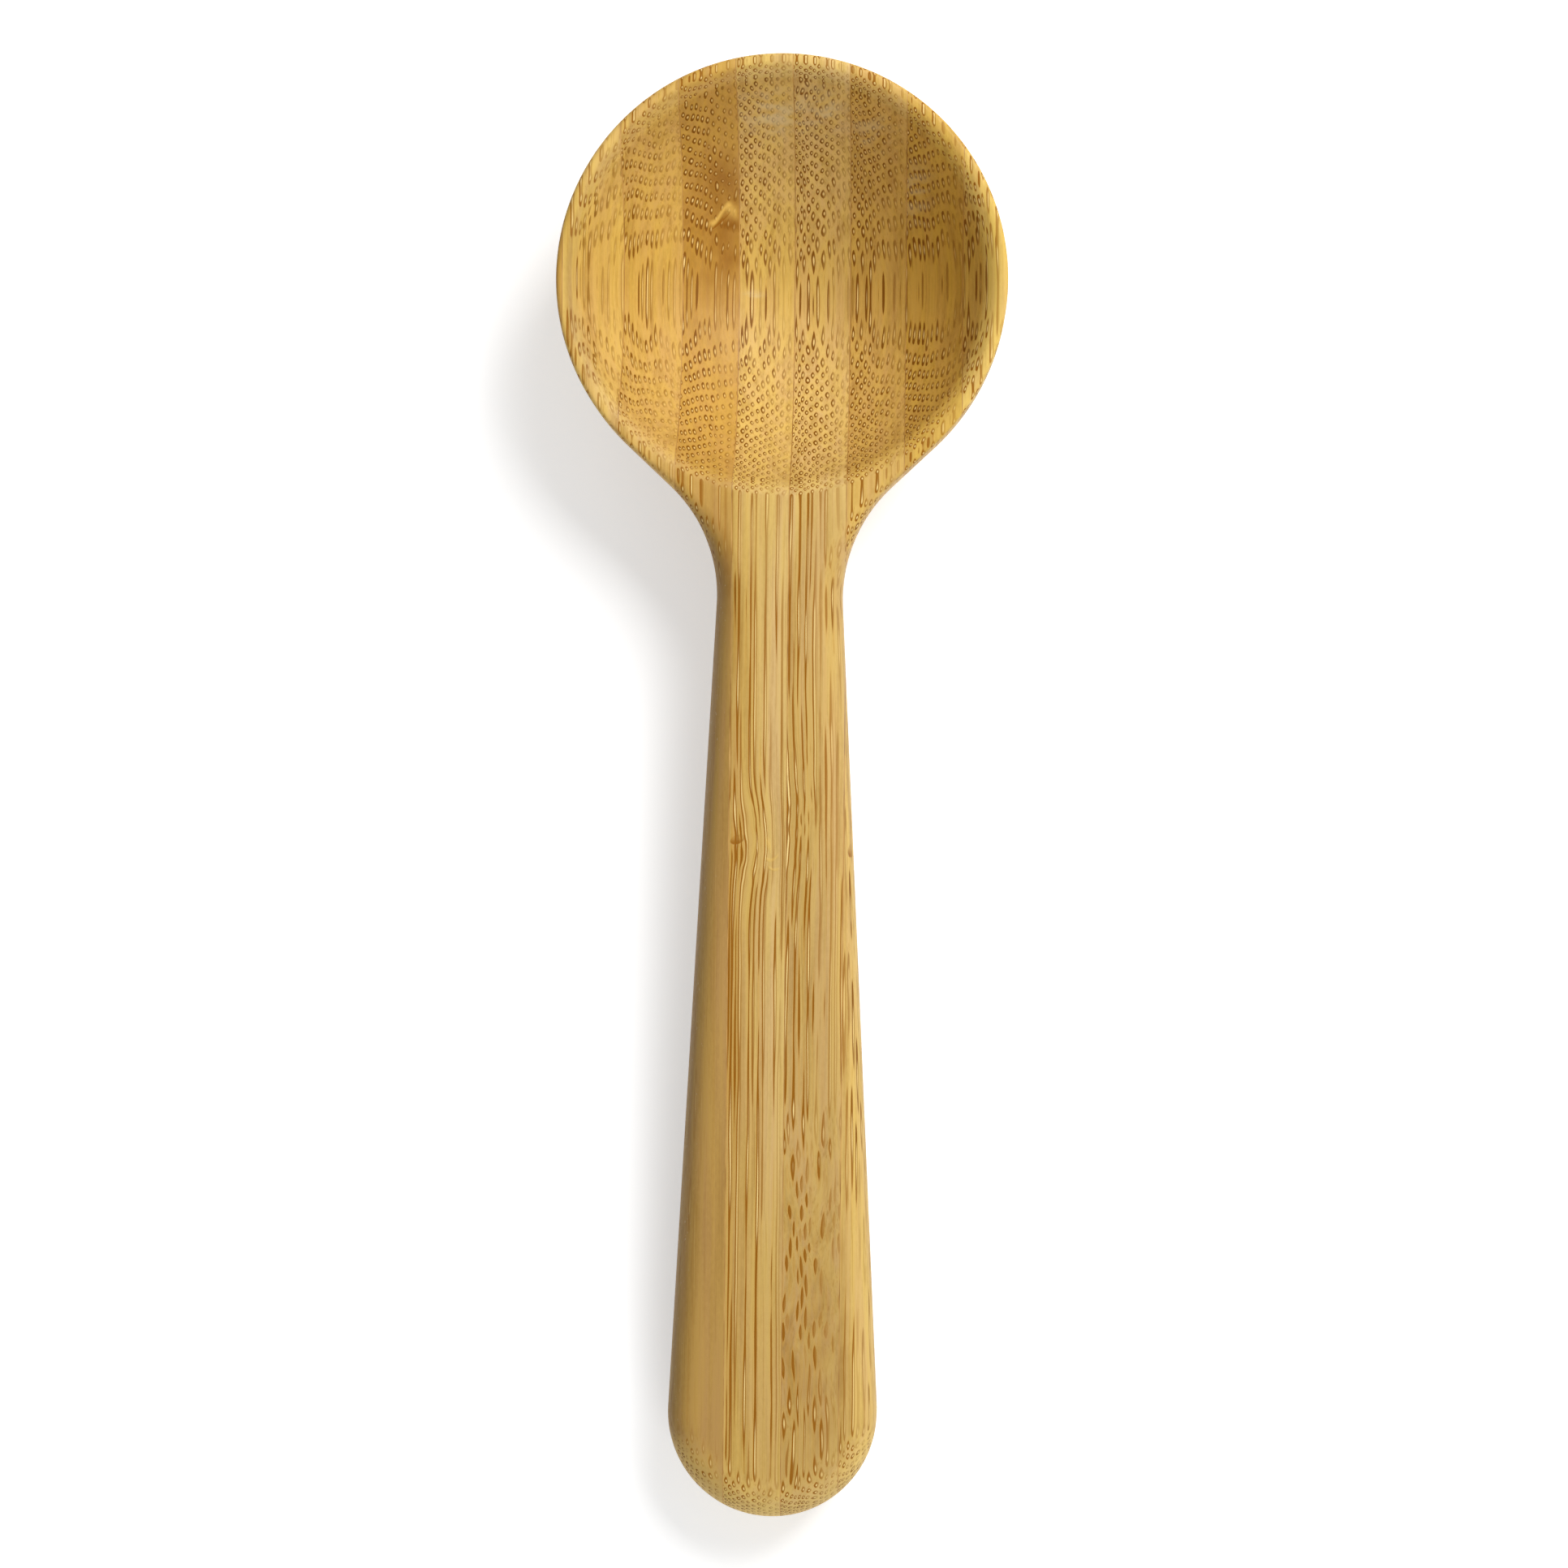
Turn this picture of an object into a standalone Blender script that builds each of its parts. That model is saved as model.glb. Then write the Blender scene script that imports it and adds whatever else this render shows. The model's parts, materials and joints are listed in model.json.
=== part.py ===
"""Coffee scoop of laminated bamboo.

Flat strips of bamboo are glued side by side into a blank, and the blank is carved: a round bowl with a
turned hollow, and a flat-topped handle that widens from a slim neck to a round end. The model is made the
same way: the carved form is hollowed, and each strip and each glue line is a plank that is cut to it.

Units are metres. The carved form is drawn with its flat top at height zero and the bowl's middle at the
origin, the bowl towards +Y and the handle towards -Y. An empty then lays it down as it rests on a table,
on the bottom of the bowl and the end of the handle, with the middle of its footprint at the origin.
"""

import math
from dataclasses import dataclass

import bmesh
import bpy
from mathutils import Vector

# Bowl: the rim is the wood left round the hollow, and the band is the upright part of the outside below it
OVERALL_LENGTH = 0.152
BOWL_DIAMETER = 0.047
RIM_WIDTH = 0.0022
RIM_BAND = 0.0042
HOLLOW_DEPTH = 0.017
BOWL_FLOOR = 0.003

# Handle
HANDLE_END_WIDTH = 0.0217
HANDLE_THICKNESS = 0.011

# Neck, where the bowl runs into the handle: the width between the handle's straight sides where they would
# reach the end of the bowl's circle, the flanks and their fillets as seen from above, and the fillet under it
NECK_WIDTH = 0.01209
FLANK_ANGLE = math.radians(47.0)
NECK_FILLET = 0.0157
UNDER_FILLET = 0.016

# Rounded edges
RIM_ROUND = 0.0005
LIP_ROUND = 0.0021
HANDLE_TOP_ROUND = 0.0032
HANDLE_UNDER_ROUND = 0.0042

# Lamination: pitch of the strips, glue between them, the first glue line right of the middle, and the
# narrowest strip that carving leaves at an edge
STRIP_PITCH = 0.00595
GLUE_THICKNESS = 0.0001
GLUE_LINE_OFFSET = 0.00098
LEAST_STRIP = 0.0004

# Fineness of the carved surfaces, in steps
BOWL_STEPS = 20
NECK_STEPS = 9
SHAFT_STEPS = 3
END_STEPS = 8
ACROSS_STEPS = 8
EDGE_CROWDING = 2.2
HOLLOW_SIDES = 48
HOLLOW_STEPS = 8
LIP_STEPS = 4

# Clear space round the scoop for the planks and the top of the cutter, the weld of coincident points, and
# the step over which the outline's slope is read
CUT_MARGIN = 0.004
WELD = 1e-6
SLOPE_STEP = 1e-5
FLAT_WITHIN = math.radians(0.001)

# Bamboo and glue: colours as seen, red, green and blue from 0 to 255, and roughness
PALE_BAMBOO = (212, 174, 104)
HONEY_BAMBOO = (201, 160, 91)
BROWN_BAMBOO = (184, 140, 76)
GLUE = (112, 78, 38)
BAMBOO_ROUGHNESS = 0.45
GLUE_ROUGHNESS = 0.6
STRIP_TONES = {
    "centre_strip": PALE_BAMBOO,
    "left_strip_1": BROWN_BAMBOO,
    "left_strip_3": PALE_BAMBOO,
    "right_strip_2": BROWN_BAMBOO,
}

BOWL_RADIUS = BOWL_DIAMETER / 2
END_RADIUS = HANDLE_END_WIDTH / 2
HANDLE_REACH = OVERALL_LENGTH - BOWL_RADIUS
END_CENTRE = HANDLE_REACH - END_RADIUS

# The hollow and the outside are parts of two balls, with their centres a little above the rim
MOUTH_RADIUS = BOWL_RADIUS - RIM_WIDTH
HOLLOW_RADIUS = (MOUTH_RADIUS ** 2 + HOLLOW_DEPTH ** 2) / (2 * HOLLOW_DEPTH)
HOLLOW_RISE = HOLLOW_RADIUS - HOLLOW_DEPTH
BOWL_HEIGHT = HOLLOW_DEPTH + BOWL_FLOOR
BALL_CAP = BOWL_HEIGHT - RIM_BAND
BALL_RADIUS = (BOWL_RADIUS ** 2 + BALL_CAP ** 2) / (2 * BALL_CAP)
BALL_RISE = BALL_RADIUS - BOWL_HEIGHT


@dataclass(frozen=True)
class NeckCurve:
    """A ball that runs into a straight bar over a flank and a fillet, as half a width at each reach."""

    ball: float
    flank: float
    fillet: float
    side: float
    taper: float

    @property
    def ball_end(self):
        """Reach at which the ball gives way to the flank."""
        return self.ball * math.sin(self.flank)

    @property
    def corner(self):
        """Reach at which flank and bar would meet without the fillet."""
        flank_at_middle = self.ball / math.cos(self.flank)
        return (flank_at_middle - self.side) / (math.tan(self.flank) + math.tan(self.taper))

    @property
    def fillet_run(self):
        """Length from that corner to either end of the fillet."""
        return self.fillet * math.tan((self.flank + self.taper) / 2)

    @property
    def fillet_start(self):
        """Reach at which the fillet leaves the flank."""
        return self.corner - self.fillet_run * math.cos(self.flank)

    @property
    def fillet_end(self):
        """Reach at which the fillet meets the bar."""
        return self.corner + self.fillet_run * math.cos(self.taper)

    def bar(self, reach):
        """Half width of the straight bar."""
        return self.side + reach * math.tan(self.taper)

    def width(self, reach):
        """Half width at a reach behind the ball's middle."""
        if reach < self.ball_end:
            return math.sqrt(max(self.ball ** 2 - reach ** 2, 0.0))
        if reach < self.fillet_start:
            return self.ball / math.cos(self.flank) - reach * math.tan(self.flank)
        if reach < self.fillet_end:
            centre = self.fillet_end - self.fillet * math.sin(self.taper)
            offset = self.bar(self.fillet_end) + self.fillet * math.cos(self.taper)
            return offset - math.sqrt(self.fillet ** 2 - (reach - centre) ** 2)
        return self.bar(reach)


# Seen from above, the handle's sides run from the neck's width to a tangent on the round end
NECK_HALF = NECK_WIDTH / 2
SIDE_RUN = END_CENTRE - BOWL_RADIUS
TAPER_ANGLE = math.asin(END_RADIUS / math.hypot(SIDE_RUN, NECK_HALF)) - math.atan2(NECK_HALF, SIDE_RUN)
PLAN = NeckCurve(
    ball=BOWL_RADIUS,
    flank=FLANK_ANGLE,
    fillet=NECK_FILLET,
    side=NECK_HALF - BOWL_RADIUS * math.tan(TAPER_ANGLE),
    taper=TAPER_ANGLE,
)

NECK_REACH = PLAN.fillet_end
NECK_HALF_WIDTH = PLAN.width(NECK_REACH)

# Seen from the side, widths are depths below the ball's centre, and the fillet is tangent to the ball
UNDER_SIDE = HANDLE_THICKNESS + BALL_RISE
SIDE = NeckCurve(
    ball=BALL_RADIUS,
    flank=math.acos((UNDER_SIDE + UNDER_FILLET) / (BALL_RADIUS + UNDER_FILLET)),
    fillet=UNDER_FILLET,
    side=UNDER_SIDE,
    taper=0.0,
)


def blend(low, high, share):
    """Value a share of the way from low to high, leaving and arriving smoothly."""
    share = min(max(share, 0.0), 1.0)
    return low + (high - low) * share * share * (3.0 - 2.0 * share)


def handle_share(reach):
    """How far the section at a reach has changed from the bowl's to the handle's."""
    return (reach - PLAN.ball_end) / (NECK_REACH - PLAN.ball_end)


def half_width(reach):
    """Half of the scoop's width at a reach behind the bowl's middle."""
    if reach > END_CENTRE - END_RADIUS * math.sin(TAPER_ANGLE):
        return math.sqrt(max(END_RADIUS ** 2 - (reach - END_CENTRE) ** 2, 0.0))
    return PLAN.width(reach)


def edge_distance(x, reach):
    """Distance of a point of the plan from the outline."""
    if reach > END_CENTRE:
        return max(END_RADIUS - math.hypot(x, reach - END_CENTRE), 0.0)
    if reach < PLAN.ball_end:
        return max(BOWL_RADIUS - math.hypot(x, reach), 0.0)
    slope = (half_width(reach + SLOPE_STEP) - half_width(reach - SLOPE_STEP)) / (2 * SLOPE_STEP)
    return max(half_width(reach) - abs(x), 0.0) / math.hypot(1.0, slope)


def round_drop(distance, radius):
    """How far a rounded edge has dropped at a distance from the outline."""
    inside = max(radius - distance, 0.0)
    return radius - math.sqrt(radius ** 2 - inside ** 2)


def top_height(across, reach):
    """Height of the flat top, with its rounded edge, at a share of the half width."""
    radius = blend(RIM_ROUND, HANDLE_TOP_ROUND, handle_share(reach))
    return -round_drop(edge_distance(across * half_width(reach), reach), radius)


def ball_share(across, reach):
    """Depth of the ball's section as a share, from 0 at its edge to 1 in the middle."""
    section = min(reach, PLAN.ball_end)
    chord = math.sqrt(max(BOWL_RADIUS ** 2 - section ** 2, 0.0))
    if chord < WELD:
        return 0.0
    edge = math.sqrt(BALL_RADIUS ** 2 - BOWL_RADIUS ** 2)
    middle = math.sqrt(BALL_RADIUS ** 2 - section ** 2)
    here = math.sqrt(BALL_RADIUS ** 2 - section ** 2 - (across * chord) ** 2)
    return (here - edge) / (middle - edge)


def under_height(across, reach):
    """Height of the underside: a ball under the bowl, a flat with rounded edges under the handle."""
    share = handle_share(reach)
    middle = SIDE.width(reach) - BALL_RISE
    edge = blend(RIM_BAND, HANDLE_THICKNESS - HANDLE_UNDER_ROUND, share)
    drop = round_drop(edge_distance(across * half_width(reach), reach), HANDLE_UNDER_ROUND)
    bar_share = 1.0 - drop / HANDLE_UNDER_ROUND
    return -edge - (middle - edge) * blend(ball_share(across, reach), bar_share, share)


def stations():
    """Reaches of the form's cross sections, closest together where the outline turns fastest."""
    bowl_turn = math.pi / 2 + FLANK_ANGLE
    bowl = [-BOWL_RADIUS * math.cos(bowl_turn * i / BOWL_STEPS) for i in range(BOWL_STEPS)]
    neck_run = NECK_REACH - PLAN.ball_end
    neck = [PLAN.ball_end + neck_run * i / NECK_STEPS for i in range(NECK_STEPS)]
    shaft_run = END_CENTRE - NECK_REACH
    shaft = [NECK_REACH + shaft_run * i / SHAFT_STEPS for i in range(SHAFT_STEPS)]
    end = [END_CENTRE + END_RADIUS * math.sin(math.pi / 2 * i / END_STEPS) for i in range(END_STEPS + 1)]
    return bowl + neck + shaft + end


def shares_across():
    """Shares of the half width from the left edge to the right, crowded at the edges."""
    right = [1.0 - (1.0 - i / ACROSS_STEPS) ** EDGE_CROWDING for i in range(ACROSS_STEPS + 1)]
    return [-share for share in reversed(right)] + right[1:]


def add_object(name, mesh, collection, frame):
    """An object with its mesh, in one collection, that lies as the scoop's frame does."""
    body = bpy.data.objects.new(name, mesh)
    body.parent = frame
    collection.objects.link(body)
    return body


def as_cutter(body):
    """Keep a cutting shape out of the finished model."""
    body.hide_render = True
    body.display_type = "WIRE"
    return body


def carved_form(collection, frame):
    """The scoop's outside, a grid wrapped once round the cross section at each station."""
    reaches = stations()
    across = shares_across()
    ring = [(share, top_height) for share in across]
    ring += [(share, under_height) for share in reversed(across)]
    ring.append(ring[0])
    columns = len(ring) - 1
    rows = len(reaches) - 1
    bm = bmesh.new()
    bmesh.ops.create_grid(bm, x_segments=columns, y_segments=rows, size=1.0)
    for vert in bm.verts:
        share, height = ring[round((vert.co.x + 1.0) / 2.0 * columns)]
        reach = reaches[round((vert.co.y + 1.0) / 2.0 * rows)]
        vert.co = Vector((share * half_width(reach), -reach, height(share, reach)))
    bmesh.ops.remove_doubles(bm, verts=bm.verts, dist=WELD)
    bmesh.ops.dissolve_limit(bm, angle_limit=FLAT_WITHIN, verts=bm.verts, edges=bm.edges)
    bmesh.ops.triangulate(bm, faces=bm.faces)
    bmesh.ops.recalc_face_normals(bm, faces=bm.faces)
    mesh = bpy.data.meshes.new("carved_form")
    bm.to_mesh(mesh)
    bm.free()
    mesh.shade_smooth()
    return as_cutter(add_object("carved_form", mesh, collection, frame))


def hollow_profile():
    """Half section of the hollow's cutter: its top, the rounded lip of the rim, and down to the bottom."""
    lip_rise = HOLLOW_RISE + LIP_ROUND
    lip_turn = math.acos(lip_rise / (HOLLOW_RADIUS + LIP_ROUND))
    lip_centre = (HOLLOW_RADIUS + LIP_ROUND) * math.sin(lip_turn)
    points = [(0.0, CUT_MARGIN), (lip_centre, CUT_MARGIN)]
    for i in range(LIP_STEPS + 1):
        turn = lip_turn * i / LIP_STEPS
        points.append((lip_centre - LIP_ROUND * math.sin(turn), LIP_ROUND * (math.cos(turn) - 1.0)))
    for i in range(1, HOLLOW_STEPS + 1):
        turn = lip_turn * (1.0 - i / HOLLOW_STEPS)
        points.append((HOLLOW_RADIUS * math.sin(turn), HOLLOW_RISE - HOLLOW_RADIUS * math.cos(turn)))
    return points


def hollow_cutter(collection, frame):
    """The turned shape that is cut out of the bowl."""
    bm = bmesh.new()
    verts = [bm.verts.new((radius, 0.0, height)) for radius, height in hollow_profile()]
    for first, second in zip(verts, verts[1:]):
        bm.edges.new((first, second))
    mesh = bpy.data.meshes.new("hollow_cutter")
    bm.to_mesh(mesh)
    bm.free()
    body = add_object("hollow_cutter", mesh, collection, frame)
    turn = body.modifiers.new("turn", "SCREW")
    turn.steps = HOLLOW_SIDES
    turn.render_steps = HOLLOW_SIDES
    turn.use_merge_vertices = True
    turn.merge_threshold = WELD
    return as_cutter(body)


def linear_colour(seen):
    """Linear colour from a colour as seen."""
    shares = [value / 255 for value in seen]
    return [s / 12.92 if s <= 0.04045 else ((s + 0.055) / 1.055) ** 2.4 for s in shares] + [1.0]


def finish(name, seen, roughness):
    """A material in one colour."""
    material = bpy.data.materials.new(name)
    material.use_nodes = True
    shader = material.node_tree.nodes["Principled BSDF"]
    shader.inputs["Base Color"].default_value = linear_colour(seen)
    shader.inputs["Roughness"].default_value = roughness
    shader.inputs["Metallic"].default_value = 0.0
    return material


def plank(name, left, right, front, back, collection, frame):
    """An uncarved plank between two upright planes, deeper than the scoop."""
    low = (left, back, -BOWL_HEIGHT - CUT_MARGIN)
    high = (right, front, CUT_MARGIN / 2)
    bm = bmesh.new()
    bmesh.ops.create_cube(bm, size=1.0)
    for vert in bm.verts:
        vert.co = Vector([high[k] if vert.co[k] > 0.0 else low[k] for k in range(3)])
    mesh = bpy.data.meshes.new(name)
    bm.to_mesh(mesh)
    bm.free()
    return add_object(name, mesh, collection, frame)


def cut(body, operation, cutter):
    """Cut a body by another one."""
    boolean = body.modifiers.new(operation.lower(), "BOOLEAN")
    boolean.operation = operation
    boolean.object = cutter


def plank_runs(left, right):
    """What carving leaves of a plank, as endings of its name with its front and back.

    A plank outside the slim neck is cut through there, into a piece of the bowl and one of the handle.
    """
    inner = max(left, -right, 0.0)
    front = BOWL_RADIUS + CUT_MARGIN
    back = -HANDLE_REACH - CUT_MARGIN
    if inner < NECK_HALF_WIDTH - LEAST_STRIP:
        return [("", front, back)]
    runs = [("", front, -NECK_REACH)]
    if inner < END_RADIUS - LEAST_STRIP:
        runs.append(("_handle", -NECK_REACH, back))
    return runs


def glue_lines():
    """Places of the glue lines, by their count from the first one right of the middle."""
    room = BOWL_RADIUS - LEAST_STRIP
    first = math.ceil((-room - GLUE_LINE_OFFSET) / STRIP_PITCH)
    last = math.floor((room - GLUE_LINE_OFFSET) / STRIP_PITCH)
    return {count: GLUE_LINE_OFFSET + count * STRIP_PITCH for count in range(first, last + 1)}


def strip_name(count):
    """Name of the strip left of a glue line, by that line's count."""
    if count == 0:
        return "centre_strip"
    return f"right_strip_{count}" if count > 0 else f"left_strip_{-count}"


def glue_name(count):
    """Name of a glue line by its count."""
    return f"glue_line_right_{count + 1}" if count >= 0 else f"glue_line_left_{-count}"


def rest_frame():
    """The empty that lays the scoop on the bottom of its bowl and the end of its handle."""
    heel_reach = HANDLE_REACH - HANDLE_UNDER_ROUND
    heel_depth = UNDER_SIDE - HANDLE_UNDER_ROUND
    drop = BALL_RADIUS - HANDLE_UNDER_ROUND
    tilt = math.asin(drop / math.hypot(heel_reach, heel_depth)) - math.atan2(heel_depth, heel_reach)
    front = BOWL_RADIUS * math.cos(tilt) + RIM_BAND * math.sin(tilt)
    back = -HANDLE_REACH * math.cos(tilt) + HANDLE_TOP_ROUND * math.sin(tilt)
    frame = bpy.data.objects.new("scoop_at_rest", None)
    frame.rotation_euler = (tilt, 0.0, 0.0)
    frame.location = (0.0, -(front + back) / 2, BALL_RADIUS - BALL_RISE * math.cos(tilt))
    return frame


def main():
    """Build the scoop."""
    for old in list(bpy.data.objects):
        bpy.data.objects.remove(old, do_unlink=True)
    parts = bpy.data.collections.new("coffee_scoop")
    cutters = bpy.data.collections.new("cutters")
    for collection in (parts, cutters):
        bpy.context.scene.collection.children.link(collection)
    frame = rest_frame()
    parts.objects.link(frame)
    form = carved_form(cutters, frame)
    cut(form, "DIFFERENCE", hollow_cutter(cutters, frame))

    planks = []
    lines = glue_lines()
    outer = BOWL_RADIUS + CUT_MARGIN
    half_glue = GLUE_THICKNESS / 2
    for count in range(min(lines), max(lines) + 2):
        name = strip_name(count)
        left = lines[count - 1] + half_glue if count - 1 in lines else -outer
        right = lines[count] - half_glue if count in lines else outer
        tone = STRIP_TONES.get(name, HONEY_BAMBOO)
        planks.append((name, left, right, finish(name + "_bamboo", tone, BAMBOO_ROUGHNESS)))
    for count, place in lines.items():
        name = glue_name(count)
        glue = finish(name + "_glue", GLUE, GLUE_ROUGHNESS)
        planks.append((name, place - half_glue, place + half_glue, glue))
    for name, left, right, material in planks:
        for ending, front, back in plank_runs(left, right):
            body = plank(name + ending, left, right, front, back, parts, frame)
            body.data.materials.append(material)
            cut(body, "INTERSECT", form)


main()
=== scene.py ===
"""Looks of a laminated bamboo coffee scoop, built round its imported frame.

The carved blank is modelled finely, with its flat top at height zero and the bowl's middle at the origin,
and cut along the frame's glue planes. Each strip and each glue film that comes off stands for the frame's
piece of the same name. Sizes are in metres, and the grain is drawn in millimetres of the board.
"""

import json
import logging
import math
from dataclasses import dataclass, field
from enum import Enum
from typing import Callable, Union

import bmesh
import bpy
from mathutils import Euler, Matrix, Vector


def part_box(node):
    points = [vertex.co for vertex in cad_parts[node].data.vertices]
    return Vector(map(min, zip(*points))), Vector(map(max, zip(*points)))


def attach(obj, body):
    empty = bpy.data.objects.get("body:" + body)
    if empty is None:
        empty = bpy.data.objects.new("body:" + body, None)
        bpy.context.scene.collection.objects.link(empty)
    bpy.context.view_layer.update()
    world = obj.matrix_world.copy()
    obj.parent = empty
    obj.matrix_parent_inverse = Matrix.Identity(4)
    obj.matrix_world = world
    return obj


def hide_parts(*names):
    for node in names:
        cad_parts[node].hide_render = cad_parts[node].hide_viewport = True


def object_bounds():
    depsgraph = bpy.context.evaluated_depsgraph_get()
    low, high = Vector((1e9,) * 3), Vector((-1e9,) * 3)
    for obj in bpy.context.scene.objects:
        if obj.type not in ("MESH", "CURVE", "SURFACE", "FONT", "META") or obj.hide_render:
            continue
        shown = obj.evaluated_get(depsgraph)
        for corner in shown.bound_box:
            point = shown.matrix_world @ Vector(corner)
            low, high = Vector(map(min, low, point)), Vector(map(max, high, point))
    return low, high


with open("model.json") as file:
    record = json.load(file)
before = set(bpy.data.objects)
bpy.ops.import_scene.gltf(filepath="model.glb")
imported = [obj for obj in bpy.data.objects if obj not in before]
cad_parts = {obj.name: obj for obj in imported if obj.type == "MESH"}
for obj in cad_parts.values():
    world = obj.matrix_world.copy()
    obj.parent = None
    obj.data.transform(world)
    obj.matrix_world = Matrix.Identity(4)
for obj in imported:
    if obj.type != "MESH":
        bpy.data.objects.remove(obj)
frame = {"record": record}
CAD_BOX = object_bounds()

LOG = logging.getLogger("scoop")
BODY = "root"
CUT_THRESHOLD = 1e-8
MILLIMETRES = 1000.0
# Middle of a noise or of a random number from 0 to 1
MIDDLE = 0.5

Colour = tuple[int, int, int]
Tint = tuple[float, float, float, float]
Paint = Union[Tint, bpy.types.NodeSocket]
Number = Union[float, "Signal"]
Triple = tuple["Signal", "Signal", "Signal"]
# Where a smooth share is 0, and where it is 1
Span = tuple[float, float]

WHITE: Tint = (1.0, 1.0, 1.0, 1.0)


def blend(low: float, high: float, share: float) -> float:
    """Give the value a share of the way from low to high, leaving and arriving smoothly."""
    share = min(max(share, 0.0), 1.0)
    return low + (high - low) * share * share * (3.0 - 2.0 * share)


def linear(seen: Colour) -> Tint:
    """Turn a colour as seen, from 0 to 255, into the linear one that shaders take.

    Args:
        seen: Red, green and blue.

    Returns:
        Linear red, green and blue, and full opacity.
    """
    shares = [value / 255 for value in seen]
    red, green, blue = (s / 12.92 if s <= 0.04045 else ((s + 0.055) / 1.055) ** 2.4 for s in shares)
    return red, green, blue, 1.0


def deselect() -> None:
    """Leave every object unselected."""
    bpy.ops.object.select_all(action="DESELECT")


@dataclass(frozen=True)
class Board:
    """The scoop's flat top as a frame: the bowl's middle is its origin, and the handle runs to -Y."""

    tilt: float
    origin: Vector

    @classmethod
    def from_record(cls, record: dict, bowl_radius: float, rim_band: float) -> "Board":
        """Find the board from the record's flat handle top and the front of the frame's box.

        Args:
            record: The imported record, with the mount on the handle's top.
            bowl_radius: Radius of the bowl's outline.
            rim_band: Height of the upright band below the rim.

        Returns:
            The board as it lies at rest.
        """
        top = next(mount for mount in record["mounts"] if mount["name"] == "handle_top")
        normal = Vector(top["axis"])
        tilt = math.atan2(-normal.y, normal.z)
        front = bowl_radius * math.cos(tilt) + rim_band * math.sin(tilt)
        y = CAD_BOX[1].y - front
        z = top["pos_m"][2] + normal.y / normal.z * (top["pos_m"][1] - y)
        return cls(tilt, Vector((0.0, y, z)))

    @property
    def matrix(self) -> Matrix:
        """Matrix that lays the board down as it rests."""
        return Matrix.Translation(self.origin) @ Matrix.Rotation(self.tilt, 4, "X")


@dataclass(frozen=True)
class Spoke:
    """A point of the outline from above, its way out, and the middle point that the underside runs to."""

    place: Vector
    outward: Vector
    middle: Vector

    def mirrored(self) -> "Spoke":
        """Give the same spoke on the other side of the middle."""
        flip = Vector((-1.0, 1.0))
        return Spoke(self.place * flip, self.outward * flip, self.middle)


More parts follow.
